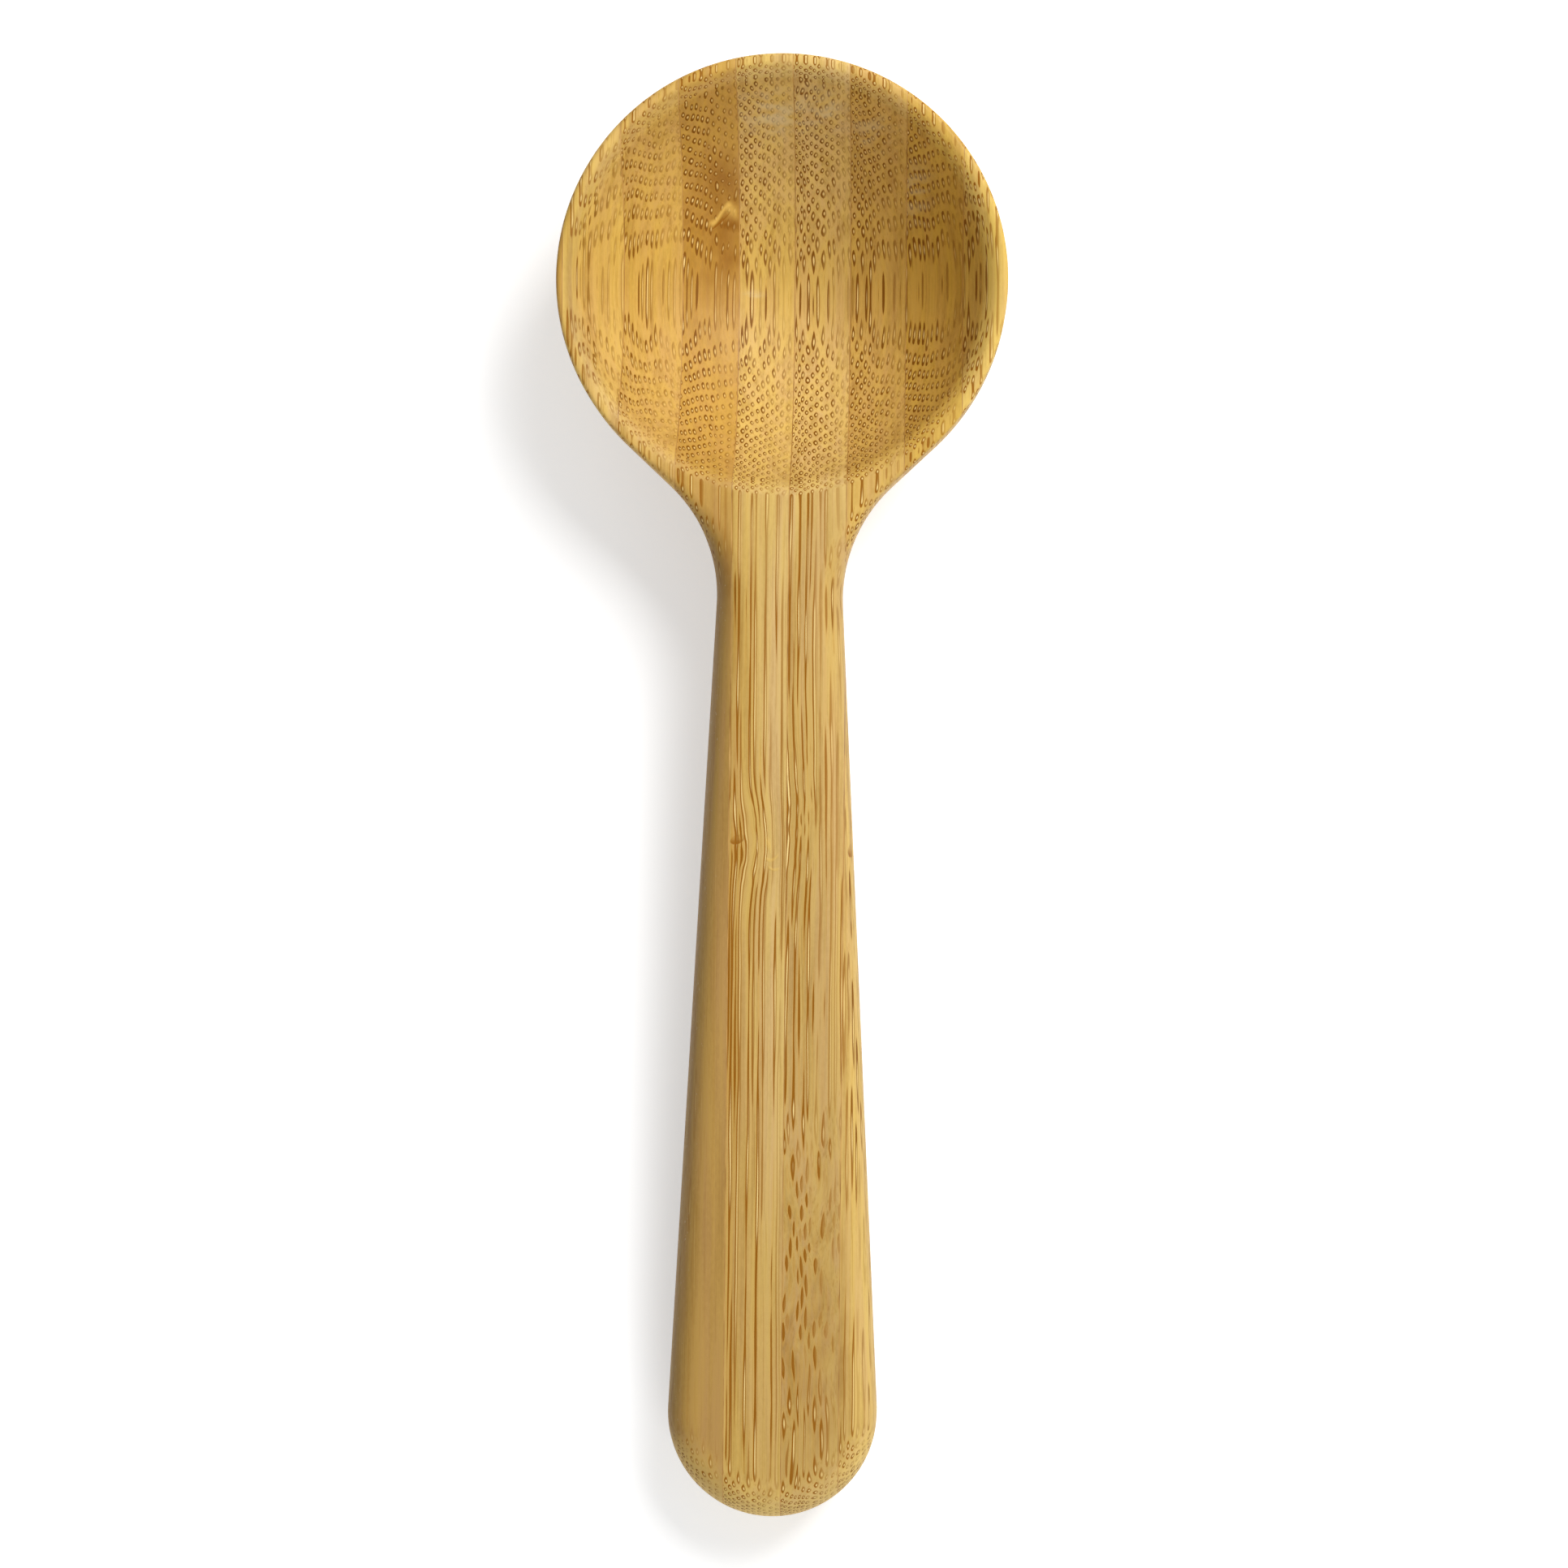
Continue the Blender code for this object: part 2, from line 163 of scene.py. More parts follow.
@dataclass(frozen=True)
class ScoopShape:
    """Sizes of the carved scoop and the curves that follow from them."""

    overall_length: float = 0.152
    bowl_diameter: float = 0.047
    rim_width: float = 0.0022
    rim_band: float = 0.0042
    hollow_depth: float = 0.017
    bowl_floor: float = 0.003
    handle_end_width: float = 0.0217
    handle_thickness: float = 0.011
    neck_width: float = 0.01209
    flank_angle: float = math.radians(47.0)
    neck_fillet: float = 0.0157
    under_fillet: float = 0.016
    rim_round: float = 0.0005
    lip_round: float = 0.0021
    handle_top_round: float = 0.0032
    handle_under_round: float = 0.0042
    bowl_steps: int = 96
    flank_steps: int = 6
    fillet_steps: int = 32
    side_steps: int = 24
    end_steps: int = 44
    slope_step: float = 1e-5

    @property
    def bowl_radius(self) -> float:
        """Radius of the bowl's outline."""
        return self.bowl_diameter / 2

    @property
    def end_radius(self) -> float:
        """Radius of the handle's round end."""
        return self.handle_end_width / 2

    @property
    def end_centre(self) -> float:
        """Reach of the round end's centre behind the bowl's middle."""
        return self.overall_length - self.bowl_radius - self.end_radius

    @property
    def taper(self) -> float:
        """Angle of the handle's straight sides to its middle line.

        Returns:
            The angle, in radians.
        """
        half = self.neck_width / 2
        run = self.end_centre - self.bowl_radius
        return math.asin(self.end_radius / math.hypot(run, half)) - math.atan2(half, run)

    @property
    def side_start(self) -> float:
        """Half width that the straight sides would have at the bowl's middle."""
        return self.neck_width / 2 - self.bowl_radius * math.tan(self.taper)

    @property
    def flank_start(self) -> float:
        """Reach at which the bowl's circle gives way to the straight flank."""
        return self.bowl_radius * math.sin(self.flank_angle)

    @property
    def flank_corner(self) -> float:
        """Reach at which flank and handle would meet without a fillet."""
        at_middle = self.bowl_radius / math.cos(self.flank_angle)
        return (at_middle - self.side_start) / (math.tan(self.flank_angle) + math.tan(self.taper))

    @property
    def fillet_start(self) -> float:
        """Reach at which the fillet leaves the flank."""
        run = self.neck_fillet * math.tan((self.flank_angle + self.taper) / 2)
        return self.flank_corner - run * math.cos(self.flank_angle)

    @property
    def neck_reach(self) -> float:
        """Reach of the slim neck, where the fillet meets the handle's side."""
        run = self.neck_fillet * math.tan((self.flank_angle + self.taper) / 2)
        return self.flank_corner + run * math.cos(self.taper)

    @property
    def fillet_centre(self) -> Vector:
        """Centre of the right neck fillet.

        Returns:
            The point on the board, as seen from above.
        """
        side = self.side_start + self.neck_reach * math.tan(self.taper)
        x = side + self.neck_fillet * math.cos(self.taper)
        return Vector((x, self.neck_fillet * math.sin(self.taper) - self.neck_reach))

    @property
    def side_end(self) -> float:
        """Reach at which the straight side meets the round end."""
        return self.end_centre - self.end_radius * math.sin(self.taper)

    @property
    def mouth_radius(self) -> float:
        """Radius that the hollow would have at the rim without its rounded lip."""
        return self.bowl_radius - self.rim_width

    @property
    def hollow_radius(self) -> float:
        """Radius of the ball that the hollow is part of."""
        return (self.mouth_radius ** 2 + self.hollow_depth ** 2) / (2 * self.hollow_depth)

    @property
    def hollow_rise(self) -> float:
        """Height of that ball's centre above the rim."""
        return self.hollow_radius - self.hollow_depth

    @property
    def bowl_height(self) -> float:
        """Depth of the bowl's underside below the rim."""
        return self.hollow_depth + self.bowl_floor

    @property
    def ball_radius(self) -> float:
        """Radius of the ball that the bowl's underside is part of."""
        cap = self.bowl_height - self.rim_band
        return (self.bowl_radius ** 2 + cap ** 2) / (2 * cap)

    @property
    def ball_rise(self) -> float:
        """Height of that ball's centre above the rim."""
        return self.ball_radius - self.bowl_height

    def half_width(self, reach: float) -> float:
        """Give half of the scoop's width.

        Args:
            reach: Distance behind the bowl's middle.

        Returns:
            Half of the width there.
        """
        if reach < self.flank_start:
            return math.sqrt(max(self.bowl_radius ** 2 - reach ** 2, 0.0))
        if reach < self.fillet_start:
            return self.bowl_radius / math.cos(self.flank_angle) - reach * math.tan(self.flank_angle)
        if reach < self.neck_reach:
            centre = self.fillet_centre
            return centre.x - math.sqrt(self.neck_fillet ** 2 - (reach + centre.y) ** 2)
        if reach < self.side_end:
            return self.side_start + reach * math.tan(self.taper)
        return math.sqrt(max(self.end_radius ** 2 - (reach - self.end_centre) ** 2, 0.0))

    def handle_share(self, reach: float) -> float:
        """Tell how far the section at a reach has changed from the bowl's to the handle's."""
        return (reach - self.flank_start) / (self.neck_reach - self.flank_start)

    def top_round(self, reach: float) -> float:
        """Give the radius of the top's rounded edge at a reach."""
        return blend(self.rim_round, self.handle_top_round, self.handle_share(reach))

    def side_foot(self, reach: float) -> float:
        """Give the depth at which the upright side meets the underside."""
        handle_foot = self.handle_thickness - self.handle_under_round
        return blend(self.rim_band, handle_foot, self.handle_share(reach))

    def middle_depth(self, reach: float) -> float:
        """Give the depth of the underside on the middle line.

        Args:
            reach: Distance behind the bowl's middle.

        Returns:
            Depth below the flat top: a ball, a fillet and the flat of the handle.
        """
        bar = self.handle_thickness + self.ball_rise
        sine = math.sqrt(1.0 - ((bar + self.under_fillet) / (self.ball_radius + self.under_fillet)) ** 2)
        fillet_centre = (self.ball_radius + self.under_fillet) * sine
        depth = bar
        if reach < self.ball_radius * sine:
            depth = math.sqrt(self.ball_radius ** 2 - reach ** 2)
        elif reach < fillet_centre:
            run = fillet_centre - reach
            depth = bar + self.under_fillet - math.sqrt(self.under_fillet ** 2 - run ** 2)
        return depth - self.ball_rise

    def edge_distance(self, x: float, reach: float) -> float:
        """Give the distance of a point of the plan from the outline.

        Args:
            x: Place across the scoop.
            reach: Distance behind the bowl's middle.

        Returns:
            The distance, 0 outside the outline.
        """
        if reach > self.end_centre:
            return max(self.end_radius - math.hypot(x, reach - self.end_centre), 0.0)
        if reach < self.flank_start:
            return max(self.bowl_radius - math.hypot(x, reach), 0.0)
        step = self.slope_step
        slope = (self.half_width(reach + step) - self.half_width(reach - step)) / (2 * step)
        return max(self.half_width(reach) - abs(x), 0.0) / math.hypot(1.0, slope)

    def ball_share(self, x: float, reach: float) -> float:
        """Give the ball section's depth as a share.

        Args:
            x: Place across the scoop.
            reach: Distance behind the bowl's middle.

        Returns:
            The share, from 0 at the section's edge to 1 in its middle.
        """
        section = min(reach, self.flank_start)
        chord = math.sqrt(max(self.bowl_radius ** 2 - section ** 2, 0.0))
        along = chord * min(abs(x) / max(self.half_width(reach), self.slope_step), 1.0)
        edge = math.sqrt(self.ball_radius ** 2 - self.bowl_radius ** 2)
        middle = math.sqrt(self.ball_radius ** 2 - section ** 2)
        here = math.sqrt(self.ball_radius ** 2 - section ** 2 - along ** 2)
        return (here - edge) / max(middle - edge, self.slope_step)

    def under_height(self, place: Vector) -> float:
        """Give the height of the underside at a place of the plan.

        Args:
            place: Point on the board, as seen from above.

        Returns:
            Height: a ball under the bowl, a flat with rounded edges under the handle.
        """
        reach = -place.y
        share = self.handle_share(reach)
        foot = self.side_foot(reach)
        radius = self.handle_under_round
        inside = max(radius - self.edge_distance(place.x, reach), 0.0)
        bar = math.sqrt(radius ** 2 - inside ** 2) / radius
        section = blend(self.ball_share(place.x, reach), bar, share)
        return -foot - (self.middle_depth(reach) - foot) * section

    def right_spokes(self) -> list[Spoke]:
        """List the right side's spokes.

        Returns:
            Spokes from the bowl's tip to the handle's end.
        """
        spokes = []
        turns = [(math.pi / 2 + self.flank_angle) * i / self.bowl_steps for i in range(self.bowl_steps)]
        for turn in turns:
            outward = Vector((math.sin(turn), math.cos(turn)))
            spokes.append(Spoke(outward * self.bowl_radius, outward, Vector((0.0, 0.0))))
        flank = Vector((math.cos(self.flank_angle), -math.sin(self.flank_angle)))
        for i in range(self.flank_steps):
            reach = self.flank_start + (self.fillet_start - self.flank_start) * i / self.flank_steps
            spokes.append(Spoke(Vector((self.half_width(reach), -reach)), flank, self.neck_middle(reach)))
        for i in range(self.fillet_steps):
            angle = self.flank_angle - (self.flank_angle + self.taper) * i / self.fillet_steps
            outward = Vector((math.cos(angle), -math.sin(angle)))
            place = self.fillet_centre - outward * self.neck_fillet
            spokes.append(Spoke(place, outward, self.neck_middle(-place.y)))
        side = Vector((math.cos(self.taper), math.sin(self.taper)))
        for i in range(self.side_steps):
            reach = self.neck_reach + (self.side_end - self.neck_reach) * i / self.side_steps
            place = Vector((self.half_width(reach), -reach))
            spokes.append(Spoke(place, side, Vector((0.0, -reach))))
        centre = Vector((0.0, -self.end_centre))
        for i in range(self.end_steps + 1):
            angle = self.taper - (math.pi / 2 + self.taper) * i / self.end_steps
            outward = Vector((math.cos(angle), math.sin(angle)))
            spokes.append(Spoke(centre + outward * self.end_radius, outward, centre))
        return spokes

    def neck_middle(self, reach: float) -> Vector:
        """Give the middle point for an outline point between the bowl and the neck."""
        return Vector((0.0, -self.neck_reach * max(self.handle_share(reach), 0.0)))

    def spokes(self) -> list[Spoke]:
        """List the spokes all the way round, clockwise from the bowl's tip."""
        right = self.right_spokes()
        return right + [spoke.mirrored() for spoke in reversed(right[1:-1])]


@dataclass
class CarvedBlank:
    """The glued blank after carving, as one fine closed mesh that the strips are then cut from."""

    shape: ScoopShape
    round_steps: int = 10
    under_steps: int = 22
    under_crowding: float = 2.0
    hollow_segments: int = 224
    hollow_rings: int = 112
    lip_steps: int = 12
    flat_support: float = 0.00002
    weld: float = 1e-7

    def build(self) -> bpy.types.Object:
        """Model the blank.

        Returns:
            The blank's object, in board coordinates.
        """
        deselect()
        spokes = self.shape.spokes()
        bpy.ops.mesh.primitive_circle_add(vertices=len(spokes), radius=self.shape.bowl_radius)
        blank = bpy.context.object
        blank.name = "carved_blank"
        bpy.ops.object.mode_set(mode="EDIT")
        self.carve_outside(blank, spokes)
        self.turn_hollow()
        self.close_top()
        bpy.ops.object.mode_set(mode="OBJECT")
        blank.data.attributes.remove(blank.data.attributes["spoke"])
        return blank

    def carve_outside(self, blank: bpy.types.Object, spokes: list[Spoke]) -> None:
        """Extrude the circle ring by ring over the rounded edge, down the side and under the scoop.

        Args:
            blank: Object in edit mode that holds one circle with a vertex for each spoke.
            spokes: The outline's points.
        """
        mesh = bmesh.from_edit_mesh(blank.data)
        layer = mesh.verts.layers.int.new("spoke")
        for vert in mesh.verts:
            vert[layer] = vert.index
        rings = [lambda spoke: self.top_point(spoke, 0.0, self.flat_support)]
        for i in range(self.round_steps + 1):
            turn = math.pi / 2 * i / self.round_steps
            rings.append(lambda spoke, turn=turn: self.top_point(spoke, turn, 0.0))
        for i in range(self.under_steps + 1):
            share = 1.0 - (i / self.under_steps) ** self.under_crowding
            rings.append(lambda spoke, share=share: self.under_point(spoke, share))
        for count, ring in enumerate(rings):
            if count:
                bpy.ops.mesh.extrude_edges_move()
            self.place_ring(blank, spokes, ring)
        bpy.ops.mesh.select_all(action="SELECT")
        bpy.ops.mesh.remove_doubles(threshold=self.weld)

    @staticmethod
    def place_ring(blank: bpy.types.Object, spokes: list[Spoke], ring: Callable[[Spoke], Vector]) -> None:
        """Move the selected ring to its place.

        Args:
            blank: Object in edit mode.
            spokes: The outline's points.
            ring: Gives a spoke's point on this ring.
        """
        mesh = bmesh.from_edit_mesh(blank.data)
        layer = mesh.verts.layers.int["spoke"]
        for vert in mesh.verts:
            if vert.select:
                vert.co = ring(spokes[vert[layer]])
        bmesh.update_edit_mesh(blank.data)

    def top_point(self, spoke: Spoke, turn: float, inset: float) -> Vector:
        """Give a point of the top's rounded edge.

        Args:
            spoke: Outline point.
            turn: Angle from the flat top down to the upright side.
            inset: Distance further in on the flat.

        Returns:
            The point on the board.
        """
        radius = self.shape.top_round(-spoke.place.y)
        inward = radius * (1.0 - math.sin(turn)) + inset
        place = spoke.place - spoke.outward * inward
        return Vector((place.x, place.y, radius * (math.cos(turn) - 1.0)))

    def under_point(self, spoke: Spoke, share: float) -> Vector:
        """Give the underside's point at a share of the way from a spoke's middle point to the outline."""
        place = spoke.middle.lerp(spoke.place, share)
        return Vector((place.x, place.y, self.shape.under_height(place)))

    def turn_hollow(self) -> None:
        """Add the hollow as part of a ball, with the rounded lip that runs on to the flat rim."""
        shape = self.shape
        lip = shape.lip_round
        lip_turn = math.acos((shape.hollow_rise + lip) / (shape.hollow_radius + lip))
        lip_centre = (shape.hollow_radius + lip) * math.sin(lip_turn)
        bpy.ops.mesh.select_all(action="DESELECT")
        bpy.ops.mesh.primitive_uv_sphere_add(
            segments=self.hollow_segments,
            ring_count=self.hollow_rings,
            radius=shape.hollow_radius,
            location=(0.0, 0.0, shape.hollow_rise),
        )
        height = lip * (math.cos(lip_turn) - 1.0)
        bpy.ops.mesh.bisect(
            plane_co=(0.0, 0.0, height), plane_no=(0.0, 0.0, 1.0), clear_outer=True, threshold=CUT_THRESHOLD
        )
        radius = lip_centre - lip * math.sin(lip_turn)
        path = []
        for i in range(1, self.lip_steps + 1):
            turn = lip_turn * (1.0 - i / self.lip_steps)
            path.append((lip_centre - lip * math.sin(turn), lip * (math.cos(turn) - 1.0)))
        path.append((lip_centre + self.flat_support, 0.0))
        for next_radius, next_height in path:
            scale = next_radius / radius
            bpy.ops.mesh.extrude_edges_move()
            bpy.ops.transform.resize(value=(scale, scale, 1.0), center_override=(0.0, 0.0, 0.0))
            bpy.ops.transform.translate(value=(0.0, 0.0, next_height - height))
            radius = next_radius
            height = next_height

    def close_top(self) -> None:
        """Fill the flat between the lip of the hollow and the rounded edge, and turn all faces outwards."""
        bpy.ops.mesh.select_mode(type="EDGE")
        bpy.ops.mesh.select_all(action="DESELECT")
        bpy.ops.mesh.select_non_manifold()
        bpy.ops.mesh.fill()
        bpy.ops.mesh.select_mode(type="VERT")
        bpy.ops.mesh.select_all(action="SELECT")
        bpy.ops.mesh.normals_make_consistent(inside=False)


class Signal:
    """A number that a shader socket carries, with arithmetic that adds Math nodes."""

    def __init__(self, bench: "NodeBench", socket: bpy.types.NodeSocket) -> None:
        """Hold a socket of a bench."""
        self.bench = bench
        self.socket = socket

    def math(self, operation: str, *others: Number) -> "Signal":
        """Add a Math node with this number as its first input.

        Args:
            operation: Name of the operation.
            others: Further inputs.

        Returns:
            The result.
        """
        return self.bench.math(operation, self, *others)

    def __add__(self, other: Number) -> "Signal":
        """Add."""
        return self.math("ADD", other)

    def __radd__(self, other: Number) -> "Signal":
        """Add."""
        return self.math("ADD", other)

    def __sub__(self, other: Number) -> "Signal":
        """Subtract."""
        return self.math("SUBTRACT", other)

    def __rsub__(self, other: Number) -> "Signal":
        """Subtract this from another number."""
        return self.bench.math("SUBTRACT", other, self)

    def __mul__(self, other: Number) -> "Signal":
        """Multiply."""
        return self.math("MULTIPLY", other)

    def __rmul__(self, other: Number) -> "Signal":
        """Multiply."""
        return self.math("MULTIPLY", other)

    def __truediv__(self, other: Number) -> "Signal":
        """Divide."""
        return self.math("DIVIDE", other)

    def squared(self) -> "Signal":
        """Multiply by itself."""
        return self.math("MULTIPLY", self)

    def smooth(self, start: float, end: float) -> "Signal":
        """Rise smoothly from 0 at start to 1 at end, or fall where start is the higher.

        Args:
            start: Value that gives 0.
            end: Value that gives 1.

        Returns:
            The share.
        """
        node = self.bench.add("ShaderNodeMapRange", {"interpolation_type": "SMOOTHSTEP"})
        low, high = (start, end) if start < end else (end, start)
        self.bench.feed(node.inputs["Value"], self)
        node.inputs["From Min"].default_value = low
        node.inputs["From Max"].default_value = high
        node.inputs["To Min"].default_value = 0.0 if start < end else 1.0
        node.inputs["To Max"].default_value = 1.0 if start < end else 0.0
        return Signal(self.bench, node.outputs["Result"])


class NodeBench:
    """Adds shader nodes to one material or world and wires them."""

    # A Mix node has sockets of the same name for each type of data, so those for colours go by number
    MIX_SHARE = 0
    MIX_FIRST = 6
    MIX_SECOND = 7
    MIX_RESULT = 2

    def __init__(self, owner: bpy.types.Material | bpy.types.World) -> None:
        """Clear the nodes of what is to be wired.

        Args:
            owner: Material or world.
        """
        owner.use_nodes = True
        self.tree = owner.node_tree
        self.tree.nodes.clear()

    def add(self, kind: str, settings: dict | None = None, inputs: dict | None = None) -> bpy.types.Node:
        """Add a node.

        Args:
            kind: Type name of the node.
            settings: Properties to set on it.
            inputs: Values or signals for its named inputs.

        Returns:
            The node.
        """
        node = self.tree.nodes.new(kind)
        for name, value in (settings or {}).items():
            setattr(node, name, value)
        for name, value in (inputs or {}).items():
            self.feed(node.inputs[name], value)
        return node

    def feed(self, socket: bpy.types.NodeSocket, value: object) -> None:
        """Give an input a signal, another node's socket or a fixed value.

        Args:
            socket: Input to feed.
            value: What to feed it.
        """
        if isinstance(value, Signal):
            value = value.socket
        if isinstance(value, bpy.types.NodeSocket):
            self.tree.links.new(value, socket)
        else:
            socket.default_value = value

    def math(self, operation: str, *values: Number) -> Signal:
        """Add a Math node.

        Args:
            operation: Name of the operation.
            values: Its inputs.

        Returns:
            The result.
        """
        node = self.add("ShaderNodeMath", {"operation": operation})
        for socket, value in zip(node.inputs, values):
            self.feed(socket, value)
        return Signal(self, node.outputs["Value"])

    def point(self, x: Number, y: Number, z: Number) -> bpy.types.NodeSocket:
        """Put three numbers together as a point."""
        return self.add("ShaderNodeCombineXYZ", inputs={"X": x, "Y": y, "Z": z}).outputs["Vector"]

    def split(self, vector: bpy.types.NodeSocket) -> Triple:
        """Take a point or a colour apart.

        Args:
            vector: Socket of the point.

        Returns:
            Its three numbers.
        """
        node = self.add("ShaderNodeSeparateXYZ", inputs={"Vector": vector})
        return tuple(Signal(self, output) for output in node.outputs)

    def noise(self, point: bpy.types.NodeSocket, detail: float) -> Triple:
        """Add a noise of unit scale.

        Args:
            point: Where to read it.
            detail: Number of finer layers.

        Returns:
            Three independent numbers round 0, mostly within a quarter of it.
        """
        node = self.add("ShaderNodeTexNoise", inputs={"Vector": point, "Scale": 1.0, "Detail": detail})
        return tuple(number - MIDDLE for number in self.split(node.outputs["Color"]))

    def mix(self, share: Number, first: Paint, second: Paint, mode: str = "MIX") -> bpy.types.NodeSocket:
        """Mix two colours.

        Args:
            share: Share of the second one.
            first: Colour or socket.
            second: Colour or socket.
            mode: Blend mode.

        Returns:
            Socket of the mixed colour.
        """
        node = self.add("ShaderNodeMix", {"data_type": "RGBA", "blend_type": mode, "clamp_factor": True})
        self.feed(node.inputs[self.MIX_SHARE], share)
        self.feed(node.inputs[self.MIX_FIRST], first)
        self.feed(node.inputs[self.MIX_SECOND], second)
        return node.outputs[self.MIX_RESULT]

    def show(self, shader: bpy.types.NodeSocket, output: str = "ShaderNodeOutputMaterial") -> None:
        """Wire a shader to the surface of the material or the world."""
        self.feed(self.add(output).inputs["Surface"], shader)


@dataclass(frozen=True)
class Knot:
    """A joint of the bamboo culm in a strip, in millimetres of the board: fibres swerve round it."""

    x: float
    y: float
    across: float
    along: float
    swerve: float
    dive: float


@dataclass(frozen=True)
class Ridge:
    """A pale wavy line where fibres fold over at a knot, in millimetres of the board."""

    x: float
    y: float
    half_length: float
    half_width: float
    slope: float
    wave: float = 0.0
    bend: float = 0.0
    paleness: float = 0.6


@dataclass(frozen=True)
class Scar:
    """A small dark hollow in the wood, in millimetres of the board."""

    x: float
    y: float
    across: float
    along: float
    slant: float


@dataclass(frozen=True)
class Patch:
    """A soft patch of another tone, a whitish lacquer haze that is partly painted sheen, or a brown stain,
    in millimetres of the board.
    """

    x: float
    y: float
    across: float
    along: float
    strength: float


@dataclass(frozen=True)
class Grain:
    """What tells one strip's wood from another's: tones, strength and course of the fibres, and marks."""

    flesh: Colour
    seed: float
    handle_flesh: Colour | None = None
    fibre: float = 1.0
    handle_fibre: float = 1.0
    spacing: float = 0.37
    wander: float = 1.0
    # Strength of the painted shade and painted sheen specks on the handle's left edge
    left_edge_shade: float = 0.0
    dive_start: float | None = None
    dive_depth: float = 0.0
    streaks: float = 1.0
    fade: float = 0.0
    knots: tuple[Knot, ...] = ()
    ridges: tuple[Ridge, ...] = ()
    scars: tuple[Scar, ...] = ()
    # Whitish lacquer hazes, partly painted sheen
    sheen_hazes: tuple[Patch, ...] = ()
    stains: tuple[Patch, ...] = ()


@dataclass(frozen=True)
class Trend:
    """A straight trend: its value at 0, and its change per unit of what drives it."""

    base: float
    change: float

    def at(self, driver: Signal) -> Signal:
        """Give the trend's value."""
        return driver * self.change + self.base


@dataclass(frozen=True)
class Ripple:
    """How fast a noise changes across, along and up the board, and how many finer layers it has."""

    across: float
    along: float
    up: float
    detail: float = 1.0


@dataclass(frozen=True)
class Place:
    """A point of the scoop as a material reads it, in millimetres of the board."""

    bench: NodeBench
    x: Signal
    y: Signal
    z: Signal

    @classmethod
    def on_board(cls, bench: NodeBench, board: Board) -> "Place":
        """Read a surface point's place.

        Args:
            bench: Node bench of the material.
            board: The board as it lies at rest.

        Returns:
            The place across, along and up.
        """
        coordinates = bench.add("ShaderNodeTexCoord").outputs["Object"]
        mapping = bench.add("ShaderNodeMapping", {"vector_type": "TEXTURE"}, {
            "Vector": coordinates,
            "Location": board.origin,
            "Rotation": (board.tilt, 0.0, 0.0),
            "Scale": (1.0 / MILLIMETRES,) * 3,
        })
        return cls(bench, *bench.split(mapping.outputs["Vector"]))

    def noise(self, ripple: Ripple, x: Number = 0.0, y: Number = 0.0, z: Number = 0.0) -> Triple:
        """Read a noise here.

        Args:
            ripple: How the noise changes.
            x: Shift across, which gives each strip or mark a noise of its own.
            y: Shift along.
            z: Shift up.

        Returns:
            Three independent numbers round 0, mostly within a quarter of it.
        """
        across = self.x * ripple.across + x
        along = self.y * ripple.along + y
        up = self.z * ripple.up + z
        return self.bench.noise(self.bench.point(across, along, up), ripple.detail)

    def off_middle(self) -> Signal:
        """Give the square of the distance from the bowl's upright middle line."""
        return self.x.squared() + self.y.squared()

    def reach(self) -> Signal:
        """Give the distance from the bowl's upright middle line."""
        return self.off_middle().math("SQRT")

    def nearness(self, spot: Knot | Patch) -> Signal:
        """Give a share that falls from 1 in the middle of a knot or a patch."""
        off = ((self.x - spot.x) / spot.across).squared() + ((self.y - spot.y) / spot.along).squared()
        return (off * -1.0).math("EXPONENT")


